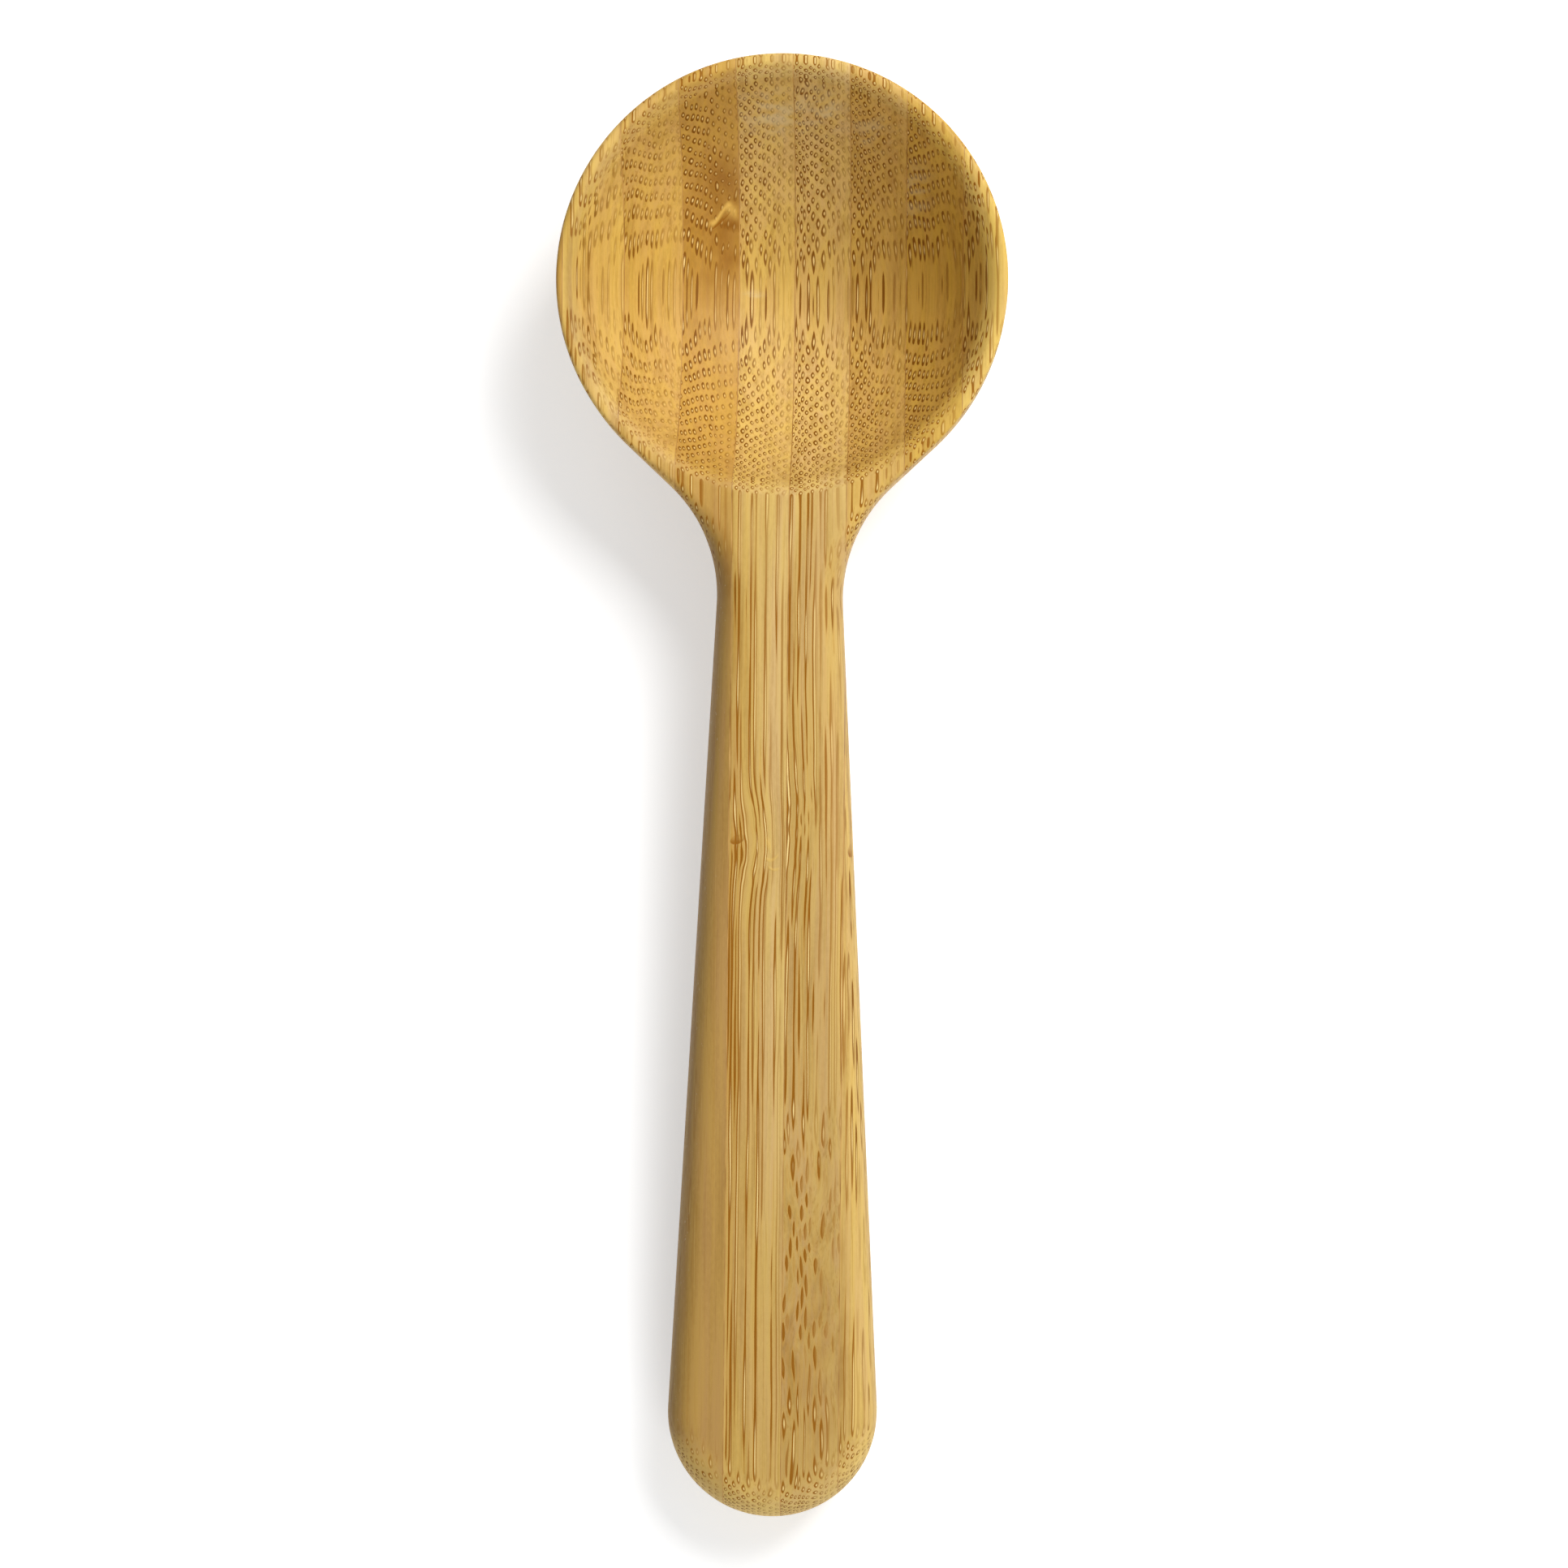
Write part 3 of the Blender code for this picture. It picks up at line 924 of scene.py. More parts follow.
@dataclass(frozen=True)
class FibreCourse:
    """How the fibres run: nearly straight, round knots, in a dive, and cut across at lip and end."""

    grain: Grain
    shape: ScoopShape
    # Wandering
    slow: Ripple = Ripple(0.3, 0.02, 0.1)
    slow_across: float = 0.8
    slow_up: float = 1.6
    quick: Ripple = Ripple(0.7, 0.1, 0.2)
    quick_across: float = 0.2
    quick_up: float = 0.3
    # Under the hollow and at its lip
    carved_span: Span = (-0.1, -1.2)
    dish: float = 0.0235
    lip_crest: float = 1.3
    lip_width: float = 1.5
    lip_slope: float = 0.5
    # Round knots
    knot_curl: Ripple = Ripple(0.6, 0.3, 0.6)
    knot_tumble: Trend = Trend(0.5, 4.0)
    # In a dive
    dive_curl: Ripple = Ripple(0.4, 0.12, 0.4)
    dive_swing: float = 1.2
    dive_onset: Span = (0.0, 10.0)
    dive_span: Span = (0.0, 38.0)
    # Band of end grain
    end_band: float = 0.0048
    end_side: Span = (0.0, -5.0)
    end_slope: float = 0.1

    def follow(self, place: Place) -> Place:
        """Find where a point of the surface lies among the fibres.

        Args:
            place: Point of the surface.

        Returns:
            The place that it would have among straight fibres.
        """
        grain = self.grain
        slow = place.noise(self.slow, x=grain.seed)
        quick = place.noise(self.quick, x=grain.seed)
        wander = grain.wander
        x = place.x + slow[0] * (self.slow_across * wander) + quick[0] * (self.quick_across * wander)
        z = place.z + slow[1] * (self.slow_up * wander) + quick[1] * (self.quick_up * wander)
        z = z + self.bow(place) * self.carved(place) - self.lip_run(place) * self.lip_slope
        for knot in grain.knots:
            near = place.nearness(knot)
            curl = place.noise(self.knot_curl, x=knot.x)
            x = x - near * (curl[0] + 1.0) * knot.swerve
            z = z + near * self.knot_tumble.at(curl[1]) * knot.dive
        if grain.dive_start is not None:
            curl = place.noise(self.dive_curl, y=grain.seed)
            run = self.dive_run(place)
            share = run.smooth(*self.dive_onset)
            z = z + run.smooth(*self.dive_span) * grain.dive_depth + curl[0] * share * self.dive_swing
            x = x + curl[1] * share
        return Place(place.bench, x, place.y, z - self.end_run(place).squared() * self.end_slope)

    def carved(self, place: Place) -> Signal:
        """Tell what is carved below the flat top from the top itself."""
        return place.z.smooth(*self.carved_span)

    def bow(self, place: Place) -> Signal:
        """Bend the fibres under the bowl, so that its hollow cuts them at the angles of a shallow dish.

        Args:
            place: Point of the surface.

        Returns:
            How far the fibres lie below their straight course, in millimetres.
        """
        mouth = self.shape.mouth_radius * MILLIMETRES
        ball = self.shape.hollow_radius * MILLIMETRES
        off = place.off_middle().math("MINIMUM", mouth ** 2)
        depth = (ball ** 2 - off).math("SQRT")
        rise = self.shape.hollow_rise * MILLIMETRES + self.dish * mouth ** 2
        return off * self.dish + depth - rise

    def lip_run(self, place: Place) -> Signal:
        """Give how far a place lies inwards from the rim's crest, over the width of the lip."""
        crest = self.shape.mouth_radius * MILLIMETRES + self.lip_crest
        return (crest - place.reach()).math("MAXIMUM", 0.0).math("MINIMUM", self.lip_width)

    def dive_run(self, place: Place) -> Signal:
        """Give how far a place lies past the start of the fibres' dive."""
        return (self.grain.dive_start - place.y).math("MAXIMUM", 0.0)

    def end_run(self, place: Place) -> Signal:
        """Give how far a place lies in the band round the handle's end where the grain is cut across.

        Args:
            place: Point of the surface.

        Returns:
            Millimetres from the band's inner edge, 0 outside it.
        """
        off = place.y + self.shape.end_centre * MILLIMETRES
        reach = (place.x.squared() + off.squared()).math("SQRT")
        inner = (self.shape.end_radius - self.end_band) * MILLIMETRES
        return (reach - inner).math("MAXIMUM", 0.0) * off.smooth(*self.end_side)


@dataclass(frozen=True)
class FibreLattice:
    """Fibre bundles as a slanting lattice of a strip's section, dense at its left, sparse at its right."""

    course: FibreCourse
    left: float
    # Lattice
    pitch: float = 5.95
    spread: float = 0.85
    depth_spacing: float = 0.72
    skew: float = 0.45
    scatter: float = 0.18
    # Size of the bundles
    half_width: float = 0.175
    half_depth: float = 0.17
    point: float = 1.5
    size_width: Trend = Trend(0.82, 0.35)
    growth_width: Trend = Trend(0.7, 0.3)
    cut_width: Trend = Trend(0.78, 0.2)
    cut_depth: Trend = Trend(1.08, -0.1)
    # Where along the board the surface cuts across them
    level_middle: float = -1.0
    slope_span: Span = (0.5, 7.0)
    bowl_span: Span = (-27.0, -22.0)
    end_span: Span = (-121.0, -125.0)
    # Strength
    dense_span: Span = (1.2, 0.05)
    density: Trend = Trend(0.28, 0.72)
    handle_start: Span = (-26.0, -36.0)
    handle_end: Span = (-124.0, -118.0)
    mean_strength: float = 0.825
    variation: Trend = Trend(0.95, -0.5)
    faint_span: Span = (-24.0, -30.0)
    faint_loss: float = 0.14
    # Section of a bundle, in half widths
    wall_span: Span = (1.25, 0.95)
    wall_side: Trend = Trend(0.66, 0.6)
    lumen_span: Span = (0.2, 0.55)
    heart_shift: float = 0.12
    heart_span: Span = (0.6, 0.15)
    heart_share: float = 0.72
    halo_span: Span = (2.2, 0.9)
    halo_share: float = 0.22
    # Dashes where the fibres dive
    solid_end: Span = (-121.0, -112.0)
    solid_fill: float = 0.9
    dash_chance: Span = (0.6, 0.2)
    dash_loss: Trend = Trend(0.4, 0.6)

    def across(self, fibres: Place) -> Signal:
        """Give the share of the strip's width from its left."""
        return (fibres.x - self.left) / self.pitch

    def lay(self, fibres: Place, across: Signal) -> Triple:
        """Lay the bundles out.

        Args:
            fibres: Place among the fibres.
            across: Share of the strip's width from its left.

        Returns:
            Strength of the dark sheath, of the pale core and of the tinted wood round both.
        """
        bench = fibres.bench
        grain = self.course.grain
        growth = across * self.spread + 1.0
        scale = self.pitch / (grain.spacing * self.spread)
        column = growth.math("LOGARITHM", math.e) * scale + grain.seed
        row = fibres.z / self.depth_spacing + column * self.skew
        cells = bench.add("ShaderNodeTexVoronoi", {"voronoi_dimensions": "2D"}, {
            "Vector": bench.point(column, row, 0.0),
            "Scale": 1.0,
            "Randomness": self.scatter,
        })
        middle_column, middle_row, _ = bench.split(cells.outputs["Position"])
        chance, size, _ = bench.split(cells.outputs["Color"])
        off_column = column - middle_column
        off_row = row - middle_row - off_column * self.skew
        cut = self.cut_across(fibres.y)
        width = self.size_width.at(size) * self.growth_width.at(growth)
        dx = off_column * growth * grain.spacing / (width * self.cut_width.at(cut) * self.half_width)
        dz = off_row * self.depth_spacing / (width * self.cut_depth.at(cut) * self.half_depth)
        strength = self.strength(fibres.y, across, cut, chance)
        return self.section(fibres, dx, dz, strength, chance)

    def cut_across(self, y: Signal) -> Signal:
        """Tell how far the surface cuts across the fibres: in the bowl's front and back, and at the end."""
        slope = (y - self.level_middle).math("ABSOLUTE").smooth(*self.slope_span)
        return slope * y.smooth(*self.bowl_span) + y.smooth(*self.end_span)

    def strength(self, y: Signal, across: Signal, cut: Signal, chance: Signal) -> Signal:
        """Give a bundle's strength: it falls towards the strip's right, and differs on the handle.

        Args:
            y: Place along the board.
            across: Share of the strip's width from its left.
            cut: How far the surface cuts across the fibres.
            chance: The bundle's own random number.

        Returns:
            The strength.
        """
        grain = self.course.grain
        strength = self.density.at(across.smooth(*self.dense_span)) * grain.fibre
        if grain.handle_fibre != 1.0:
            handle = y.smooth(*self.handle_start) * y.smooth(*self.handle_end)
            strength = strength * (handle * (grain.handle_fibre - 1.0) + 1.0)
        vary = self.variation.at(cut)
        strength = strength * (chance * vary - vary * MIDDLE + self.mean_strength)
        loss = y.smooth(*self.faint_span) * (1.0 - cut) * self.faint_loss
        return (strength - loss).math("MAXIMUM", 0.0)

    def section(self, fibres: Place, dx: Signal, dz: Signal, strength: Signal, chance: Signal) -> Triple:
        """Draw a bundle's section: a pointed ring that is darker at its left, with a pale core.

        Args:
            fibres: Place among the fibres.
            dx: Distance across from the bundle's middle, in half widths.
            dz: Distance up from it, in half depths.
            strength: The bundle's strength.
            chance: The bundle's own random number.

        Returns:
            Strength of the dark sheath, of the pale core and of the tinted wood round both.
        """
        radius = (self.pointed(dx) + self.pointed(dz)).math("POWER", 1.0 / self.point)
        wall = radius.smooth(*self.wall_span) * self.wall_side.at(dx.smooth(1.0, -1.0)) * strength
        lumen = radius.smooth(*self.lumen_span)
        off_heart = ((dx - self.heart_shift).squared() + dz.squared()).math("SQRT")
        heart = off_heart.smooth(*self.heart_span) * strength * self.heart_share
        if self.course.grain.dive_start is not None:
            dive = self.course.dive_run(fibres).smooth(*self.course.dive_onset)
            solid = dive * fibres.y.smooth(*self.solid_end)
            lumen = lumen.math("MAXIMUM", solid * self.solid_fill)
            heart = heart * (1.0 - solid)
            wall = wall * (1.0 - solid * self.dash_loss.at(chance.smooth(*self.dash_chance)))
        return wall * lumen, heart, radius.smooth(*self.halo_span) * strength * self.halo_share

    def pointed(self, off: Signal) -> Signal:
        """Raise a distance from a bundle's middle to the power that gives bundles their pointed ends."""
        return off.math("ABSOLUTE").math("POWER", self.point)


@dataclass(frozen=True)
class WoodFlesh:
    """The wood between the fibres: long soft streaks, hairlines, clouds, fuzz, a darker left edge, and
    painted shade across the bowl's middle.
    """

    grain: Grain
    # Tones
    deep: Tint = (0.62, 0.54, 0.4, 1.0)
    pinkish: Tint = (0.96, 0.93, 1.16, 1.0)
    hairline: Tint = (0.74, 0.62, 0.42, 1.0)
    # Painted shade: darker and more saturated across the bowl's middle
    bowl_shade_tint: Tint = (0.94, 0.93, 0.76, 1.0)
    faded: Colour = (228, 198, 130)
    # Shading
    streak: Ripple = Ripple(1.9, 0.03, 1.9, 2.0)
    streak_shade: float = 1.4
    hair: Ripple = Ripple(7.0, 0.035, 7.0)
    hair_span: Span = (0.09, 0.24)
    hair_share: float = 0.6
    pale_shade: float = 0.5
    cloud: Ripple = Ripple(0.75, 0.05, 0.75)
    fuzz_shade: float = 0.5
    edge_span: Span = (0.3, 0.0)
    edge_shade: float = 0.12
    base_shade: float = 0.12
    # Hue, and painted shade across the bowl's middle
    pink_contrast: float = 2.5
    pink_share: float = 0.4
    bowl_shade_middle: float = 3.5
    bowl_shade_reach: float = 7.0
    # Handle
    neck_span: Span = (-14.0, -34.0)
    fade_span: Span = (0.25, 0.8)
    fade_end: Span = (-125.0, -80.0)

    def colour(self, fibres: Place, across: Signal, fuzz: Signal) -> bpy.types.NodeSocket:
        """Mix the wood's colour.

        Args:
            fibres: Place among the fibres.
            across: Share of the strip's width from its left.
            fuzz: Fine noise.

        Returns:
            Socket of the colour.
        """
        bench = fibres.bench
        grain = self.grain
        streak, hue, _ = fibres.noise(self.streak, x=grain.seed)
        hair, pale, _ = fibres.noise(self.hair, x=grain.seed)
        cloud, band, _ = fibres.noise(self.cloud, y=grain.seed)
        tone = self.main_tone(fibres, across)
        # Painted shade: a darker, more saturated band across the bowl's middle, where the hollow lies in
        # shade
        bowl_shade = ((fibres.y - self.bowl_shade_middle) / self.bowl_shade_reach).squared() * -1.0
        tone = bench.mix(bowl_shade.math("EXPONENT"), tone, self.bowl_shade_tint, "MULTIPLY")
        pink = hue * self.pink_contrast + band * self.pink_contrast + self.pink_share
        tone = bench.mix(pink, tone, self.pinkish, "MULTIPLY")
        shade = streak * (self.streak_shade * grain.streaks) + cloud + fuzz * self.fuzz_shade
        shade = shade - pale * (self.pale_shade * grain.streaks)
        shade = shade + across.smooth(*self.edge_span) * self.edge_shade + self.base_shade
        tone = bench.mix(shade, tone, self.deep, "MULTIPLY")
        hairs = hair.smooth(*self.hair_span) * (self.hair_share * grain.streaks)
        return bench.mix(hairs, tone, self.hairline, "MULTIPLY")

    def main_tone(self, fibres: Place, across: Signal) -> Paint:
        """Give the strip's main tone, which may differ on the handle and fade there towards its right.

        Args:
            fibres: Place among the fibres.
            across: Share of the strip's width from its left.

        Returns:
            The colour or its socket.
        """
        bench = fibres.bench
        grain = self.grain
        tone = linear(grain.flesh)
        if grain.handle_flesh is not None:
            tone = bench.mix(fibres.y.smooth(*self.neck_span), tone, linear(grain.handle_flesh))
        if grain.fade:
            handle = fibres.y.smooth(*self.neck_span) * fibres.y.smooth(*self.fade_end)
            tone = bench.mix(across.smooth(*self.fade_span) * handle * grain.fade, tone, linear(self.faded))
        return tone


@dataclass(frozen=True)
class SurfaceMarks:
    """Marks on a strip's top and in the hollow: stains, folds, scars deepened by painted shadow, whitish
    lacquer hazes that are partly painted sheen, painted shade on the lip, and painted shade with painted
    sheen specks on the handle's left edge.
    """

    grain: Grain
    shape: ScoopShape
    # Tones
    stained: Colour = (138, 86, 2)
    fold: Colour = (228, 186, 92)
    pit: Colour = (148, 92, 0)
    sheen_haze_colour: Colour = (222, 206, 162)
    sheen_fleck: Colour = (214, 204, 180)
    # Painted shade on the lip of the hollow
    lip_shade_tint: Tint = (0.8, 0.78, 0.76, 1.0)
    left_edge_shade_tint: Tint = (0.74, 0.76, 0.8, 1.0)
    # Where marks show
    hollow_skin: Span = (1.5, 0.4)
    top_span: Span = (-3.0, -1.6)
    # Painted shade on the lip of the hollow
    lip_inner: Span = (-0.4, 0.4)
    lip_outer: Span = (1.5, 0.8)
    lip_back: Span = (-16.0, -6.0)
    # Stains, folds and scars
    mark_relief: float = 2.0
    stain_cloud: Ripple = Ripple(0.5, 0.35, 0.0, 2.0)
    stain_depth: Trend = Trend(1.0, 2.0)
    ridge_waves: float = 4.0
    ridge_fade: float = 0.5
    scar_edge: Span = (1.1, 0.85)
    scar_shadow_lean: float = 0.3
    scar_shadow_span: Span = (0.6, -0.8)
    scar_shade: Trend = Trend(0.3, 0.65)
    # Whitish lacquer hazes, partly painted sheen
    sheen_haze_wisps: Ripple = Ripple(0.4, 1.1, 0.0, 3.0)
    sheen_haze_slant: float = 0.15
    sheen_haze_contrast: float = 5.0
    sheen_haze_base: float = 0.8
    sheen_haze_span: Span = (0.0, 1.8)
    # Painted shade and painted sheen specks on the handle's rounded left edge
    left_shade_start: Span = (-20.0, -28.0)
    left_shade_end: Span = (-123.0, -116.0)
    left_shade_depth: Span = (-0.05, -1.0)
    left_shade_side: Span = (-3.5, -6.0)
    speckle: Ripple = Ripple(6.0, 2.2, 6.0, 2.0)
    speckle_span: Span = (0.17, 0.27)
    speckle_share: float = 0.55

    def stain(self, place: Place, colour: bpy.types.NodeSocket) -> bpy.types.NodeSocket:
        """Lay the brown, clouded stains on the wood.

        Args:
            place: Point of the surface.
            colour: Colour so far.

        Returns:
            Socket of the colour.
        """
        for patch in self.grain.stains:
            cloud = place.noise(self.stain_cloud, z=patch.x)[0]
            share = place.nearness(patch) * self.stain_depth.at(cloud) * patch.strength
            colour = place.bench.mix(share, colour, linear(self.stained))
        return colour

    def paint(
        self, place: Place, colour: bpy.types.NodeSocket, relief: Signal, fuzz: Signal
    ) -> tuple[bpy.types.NodeSocket, Signal]:
        """Lay the marks over wood and fibres.

        Args:
            place: Point of the surface.
            colour: Colour so far.
            relief: Height of the surface's grain so far.
            fuzz: Fine noise.

        Returns:
            Socket of the colour, and the height.
        """
        bench = place.bench
        shown = self.top_side(place)
        # Painted shade on the lip of the hollow
        colour = bench.mix(self.lip_shade_share(place) * shown, colour, self.lip_shade_tint, "MULTIPLY")
        for ridge in self.grain.ridges:
            fold = self.ridge_height(place, ridge) * shown
            colour = bench.mix(fold * ridge.paleness, colour, linear(self.fold))
            relief = relief + fold * self.mark_relief
        for scar in self.grain.scars:
            pit = self.scar_depth(place, scar) * shown
            colour = bench.mix(pit, colour, linear(self.pit))
            relief = relief - pit * self.mark_relief
        # Whitish lacquer hazes, partly painted sheen
        for sheen_haze in self.grain.sheen_hazes:
            colour = bench.mix(self.sheen_haze_share(place, sheen_haze, fuzz) * shown, colour, linear(self.sheen_haze_colour))
        # Painted shade and painted sheen specks on the handle's left edge
        if self.grain.left_edge_shade:
            colour = self.paint_left_edge_shade(place, colour)
        return colour, relief

    def top_side(self, place: Place) -> Signal:
        """Tell the top and the hollow, which carry the marks, from the sides and the underside.

        Args:
            place: Point of the surface.

        Returns:
            Share, 1 on the top and in the hollow.
        """
        ball = self.shape.hollow_radius * MILLIMETRES
        off = place.off_middle() + (place.z - self.shape.hollow_rise * MILLIMETRES).squared()
        inside = off.math("SQRT").smooth(*(ball + skin for skin in self.hollow_skin))
        return inside.math("MAXIMUM", place.z.smooth(*self.top_span))

    def lip_shade_share(self, place: Place) -> Signal:
        """Tell where painted shade darkens the lip of the hollow: all round, but not towards the handle.

        Args:
            place: Point of the surface.

        Returns:
            Share, 1 on the darkest part of the lip.
        """
        mouth = self.shape.mouth_radius * MILLIMETRES
        inner = place.reach().smooth(*(mouth + off for off in self.lip_inner))
        outer = place.reach().smooth(*(mouth + off for off in self.lip_outer))
        return inner * outer * place.y.smooth(*self.lip_back)

    def ridge_height(self, place: Place, ridge: Ridge) -> Signal:
        """Give the height of a folded ridge.

        Args:
            place: Point of the surface.
            ridge: The ridge.

        Returns:
            The height, from 0 outside it to 1 on its crest.
        """
        along = place.x - ridge.x
        wave = (along * (self.ridge_waves / ridge.half_length)).math("SINE") * ridge.wave
        off = place.y - ridge.y - along * ridge.slope - wave - along.squared() * ridge.bend
        crest = off.math("ABSOLUTE").smooth(ridge.half_width, 0.0)
        return crest * along.math("ABSOLUTE").smooth(ridge.half_length, ridge.half_length * self.ridge_fade)

    def scar_depth(self, place: Place, scar: Scar) -> Signal:
        """Give a scar's darkness: a slanting oval of dark wood, darkest along its lower edge, where painted
        shadow falls in the pit.

        Args:
            place: Point of the surface.
            scar: The scar.

        Returns:
            The darkness, from 0 outside it.
        """
        right = (place.x - scar.x) / scar.across
        up = (place.y - scar.y - (place.x - scar.x) * scar.slant) / scar.along
        radius = (right.squared() + up.squared()).math("SQRT")
        # Painted shadow inside the pit, along its lower edge
        floor = (up + right * self.scar_shadow_lean).smooth(*self.scar_shadow_span)
        return radius.smooth(*self.scar_edge) * self.scar_shade.at(floor)

    def sheen_haze_share(self, place: Place, sheen_haze: Patch, fuzz: Signal) -> Signal:
        """Give the strength of a whitish, wispy haze of the lacquer, partly painted sheen.

        Args:
            place: Point of the surface.
            sheen_haze: The patch that it covers.
            fuzz: Fine noise.

        Returns:
            Share of the haze's colour.
        """
        wisps = place.noise(self.sheen_haze_wisps, x=place.y * self.sheen_haze_slant)[0]
        cover = (wisps * self.sheen_haze_contrast + fuzz + self.sheen_haze_base).smooth(*self.sheen_haze_span)
        return place.nearness(sheen_haze) * cover * sheen_haze.strength

    def paint_left_edge_shade(self, place: Place, colour: bpy.types.NodeSocket) -> bpy.types.NodeSocket:
        """Paint shade on the handle's rounded left edge, which turns away from the light, and paint whitish
        sheen specks on it.

        Args:
            place: Point of the surface.
            colour: Colour so far.

        Returns:
            Socket of the colour.
        """
        bench = place.bench
        handle = place.y.smooth(*self.left_shade_start) * place.y.smooth(*self.left_shade_end)
        edge = place.z.smooth(*self.left_shade_depth) * place.x.smooth(*self.left_shade_side)
        share = edge * handle * self.grain.left_edge_shade
        # Painted shade: the rounded left edge is darkened and greyed
        colour = bench.mix(share, colour, self.left_edge_shade_tint, "MULTIPLY")
        # Painted sheen: whitish specks on that edge
        speckle = place.noise(self.speckle)[0].smooth(*self.speckle_span)
        return bench.mix(share * speckle * self.speckle_share, colour, linear(self.sheen_fleck))


@dataclass(frozen=True)
class BambooFinish:
    """Lacquered bamboo strip: wood with fibre bundles along the strip, and the strip's own marks."""

    name: str
    grain: Grain
    left: float
    board: Board
    shape: ScoopShape
    # Fibres, and painted light on the rounded band round the handle's end
    sheath: Colour = (148, 92, 0)
    cut_sheath: Colour = (128, 80, 2)
    core: Colour = (242, 211, 138)
    halo: Colour = (198, 146, 54)
    end_light_colour: Colour = (233, 200, 118)
    end_span: Span = (0.5, 4.5)
    end_light_share: float = 0.5
    # Relief and lacquer
    fuzz: Ripple = Ripple(4.2, 1.4, 4.2, 2.0)
    core_relief: float = 0.6
    fuzz_relief: float = 0.3
    bump_strength: float = 0.35
    bump_height: float = 0.00006
    roughness: float = 0.52
    dark_roughness: float = 0.1
    fuzz_roughness: float = 0.2
    specular: float = 0.2
    coat: float = 0.04
    coat_roughness: float = 0.35

    def build(self) -> bpy.types.Material:
        """Build the material.

        Returns:
            The material, on Object coordinates.
        """
        course = FibreCourse(self.grain, self.shape)
        lattice = FibreLattice(course, self.left)
        marks = SurfaceMarks(self.grain, self.shape)
        material = bpy.data.materials.new(self.name)
        bench = NodeBench(material)
        place = Place.on_board(bench, self.board)
        fibres = course.follow(place)
        across = lattice.across(fibres)
        dark, core, halo = lattice.lay(fibres, across)
        fuzz = fibres.noise(self.fuzz, z=self.grain.seed)[0]
        colour = WoodFlesh(self.grain).colour(fibres, across, fuzz)
        # Painted light: the rounded band round the handle's end is made paler
        end = course.end_run(place).smooth(*self.end_span) * self.end_light_share
        colour = bench.mix(end, colour, linear(self.end_light_colour))
        colour = marks.stain(place, colour)
        sheath = bench.mix(course.carved(place), linear(self.sheath), linear(self.cut_sheath))
        colour = bench.mix(halo, colour, linear(self.halo))
        colour = bench.mix(dark, colour, sheath)
        colour = bench.mix(core, colour, linear(self.core))
        relief = core * self.core_relief - dark + fuzz * self.fuzz_relief
        colour, relief = marks.paint(place, colour, relief, fuzz)
        bump = bench.add("ShaderNodeBump", inputs={
            "Height": relief,
            "Strength": self.bump_strength,
            "Distance": self.bump_height,
        })
        shader = bench.add("ShaderNodeBsdfPrincipled", inputs={
            "Base Color": colour,
            "Roughness": dark * self.dark_roughness + self.roughness + fuzz * self.fuzz_roughness,
            "Normal": bump.outputs["Normal"],
            "Specular IOR Level": self.specular,
            "Coat Weight": self.coat,
            "Coat Roughness": self.coat_roughness,
        })
        bench.show(shader.outputs["BSDF"])
        return material


@dataclass(frozen=True)
class GlueFinish:
    """Cured glue under lacquer: a thin brown line, stronger in some places than in others."""

    board: Board
    name: str = "glue_film"
    strong: Colour = (142, 96, 36)
    faint: Colour = (200, 154, 82)
    cloud: Ripple = Ripple(1.0, 0.25, 0.25, 2.0)
    faintness: Trend = Trend(0.55, 2.5)
    roughness: Trend = Trend(0.45, 0.2)
    specular: float = 0.35
    coat: float = 0.06
    coat_roughness: float = 0.35

    def build(self) -> bpy.types.Material:
        """Build the material.

        Returns:
            The material, on Object coordinates.
        """
        material = bpy.data.materials.new(self.name)
        bench = NodeBench(material)
        share = self.faintness.at(Place.on_board(bench, self.board).noise(self.cloud)[0])
        shader = bench.add("ShaderNodeBsdfPrincipled", inputs={
            "Base Color": bench.mix(share, linear(self.strong), linear(self.faint)),
            "Roughness": self.roughness.at(share),
            "Specular IOR Level": self.specular,
            "Coat Weight": self.coat,
            "Coat Roughness": self.coat_roughness,
        })
        bench.show(shader.outputs["BSDF"])
        return material


class Slot(Enum):
    """Material slots that the record gives the pieces."""

    PALE = "pale_bamboo"
    HONEY = "honey_bamboo"
    BROWN = "brown_bamboo"
    GLUE = "glue"


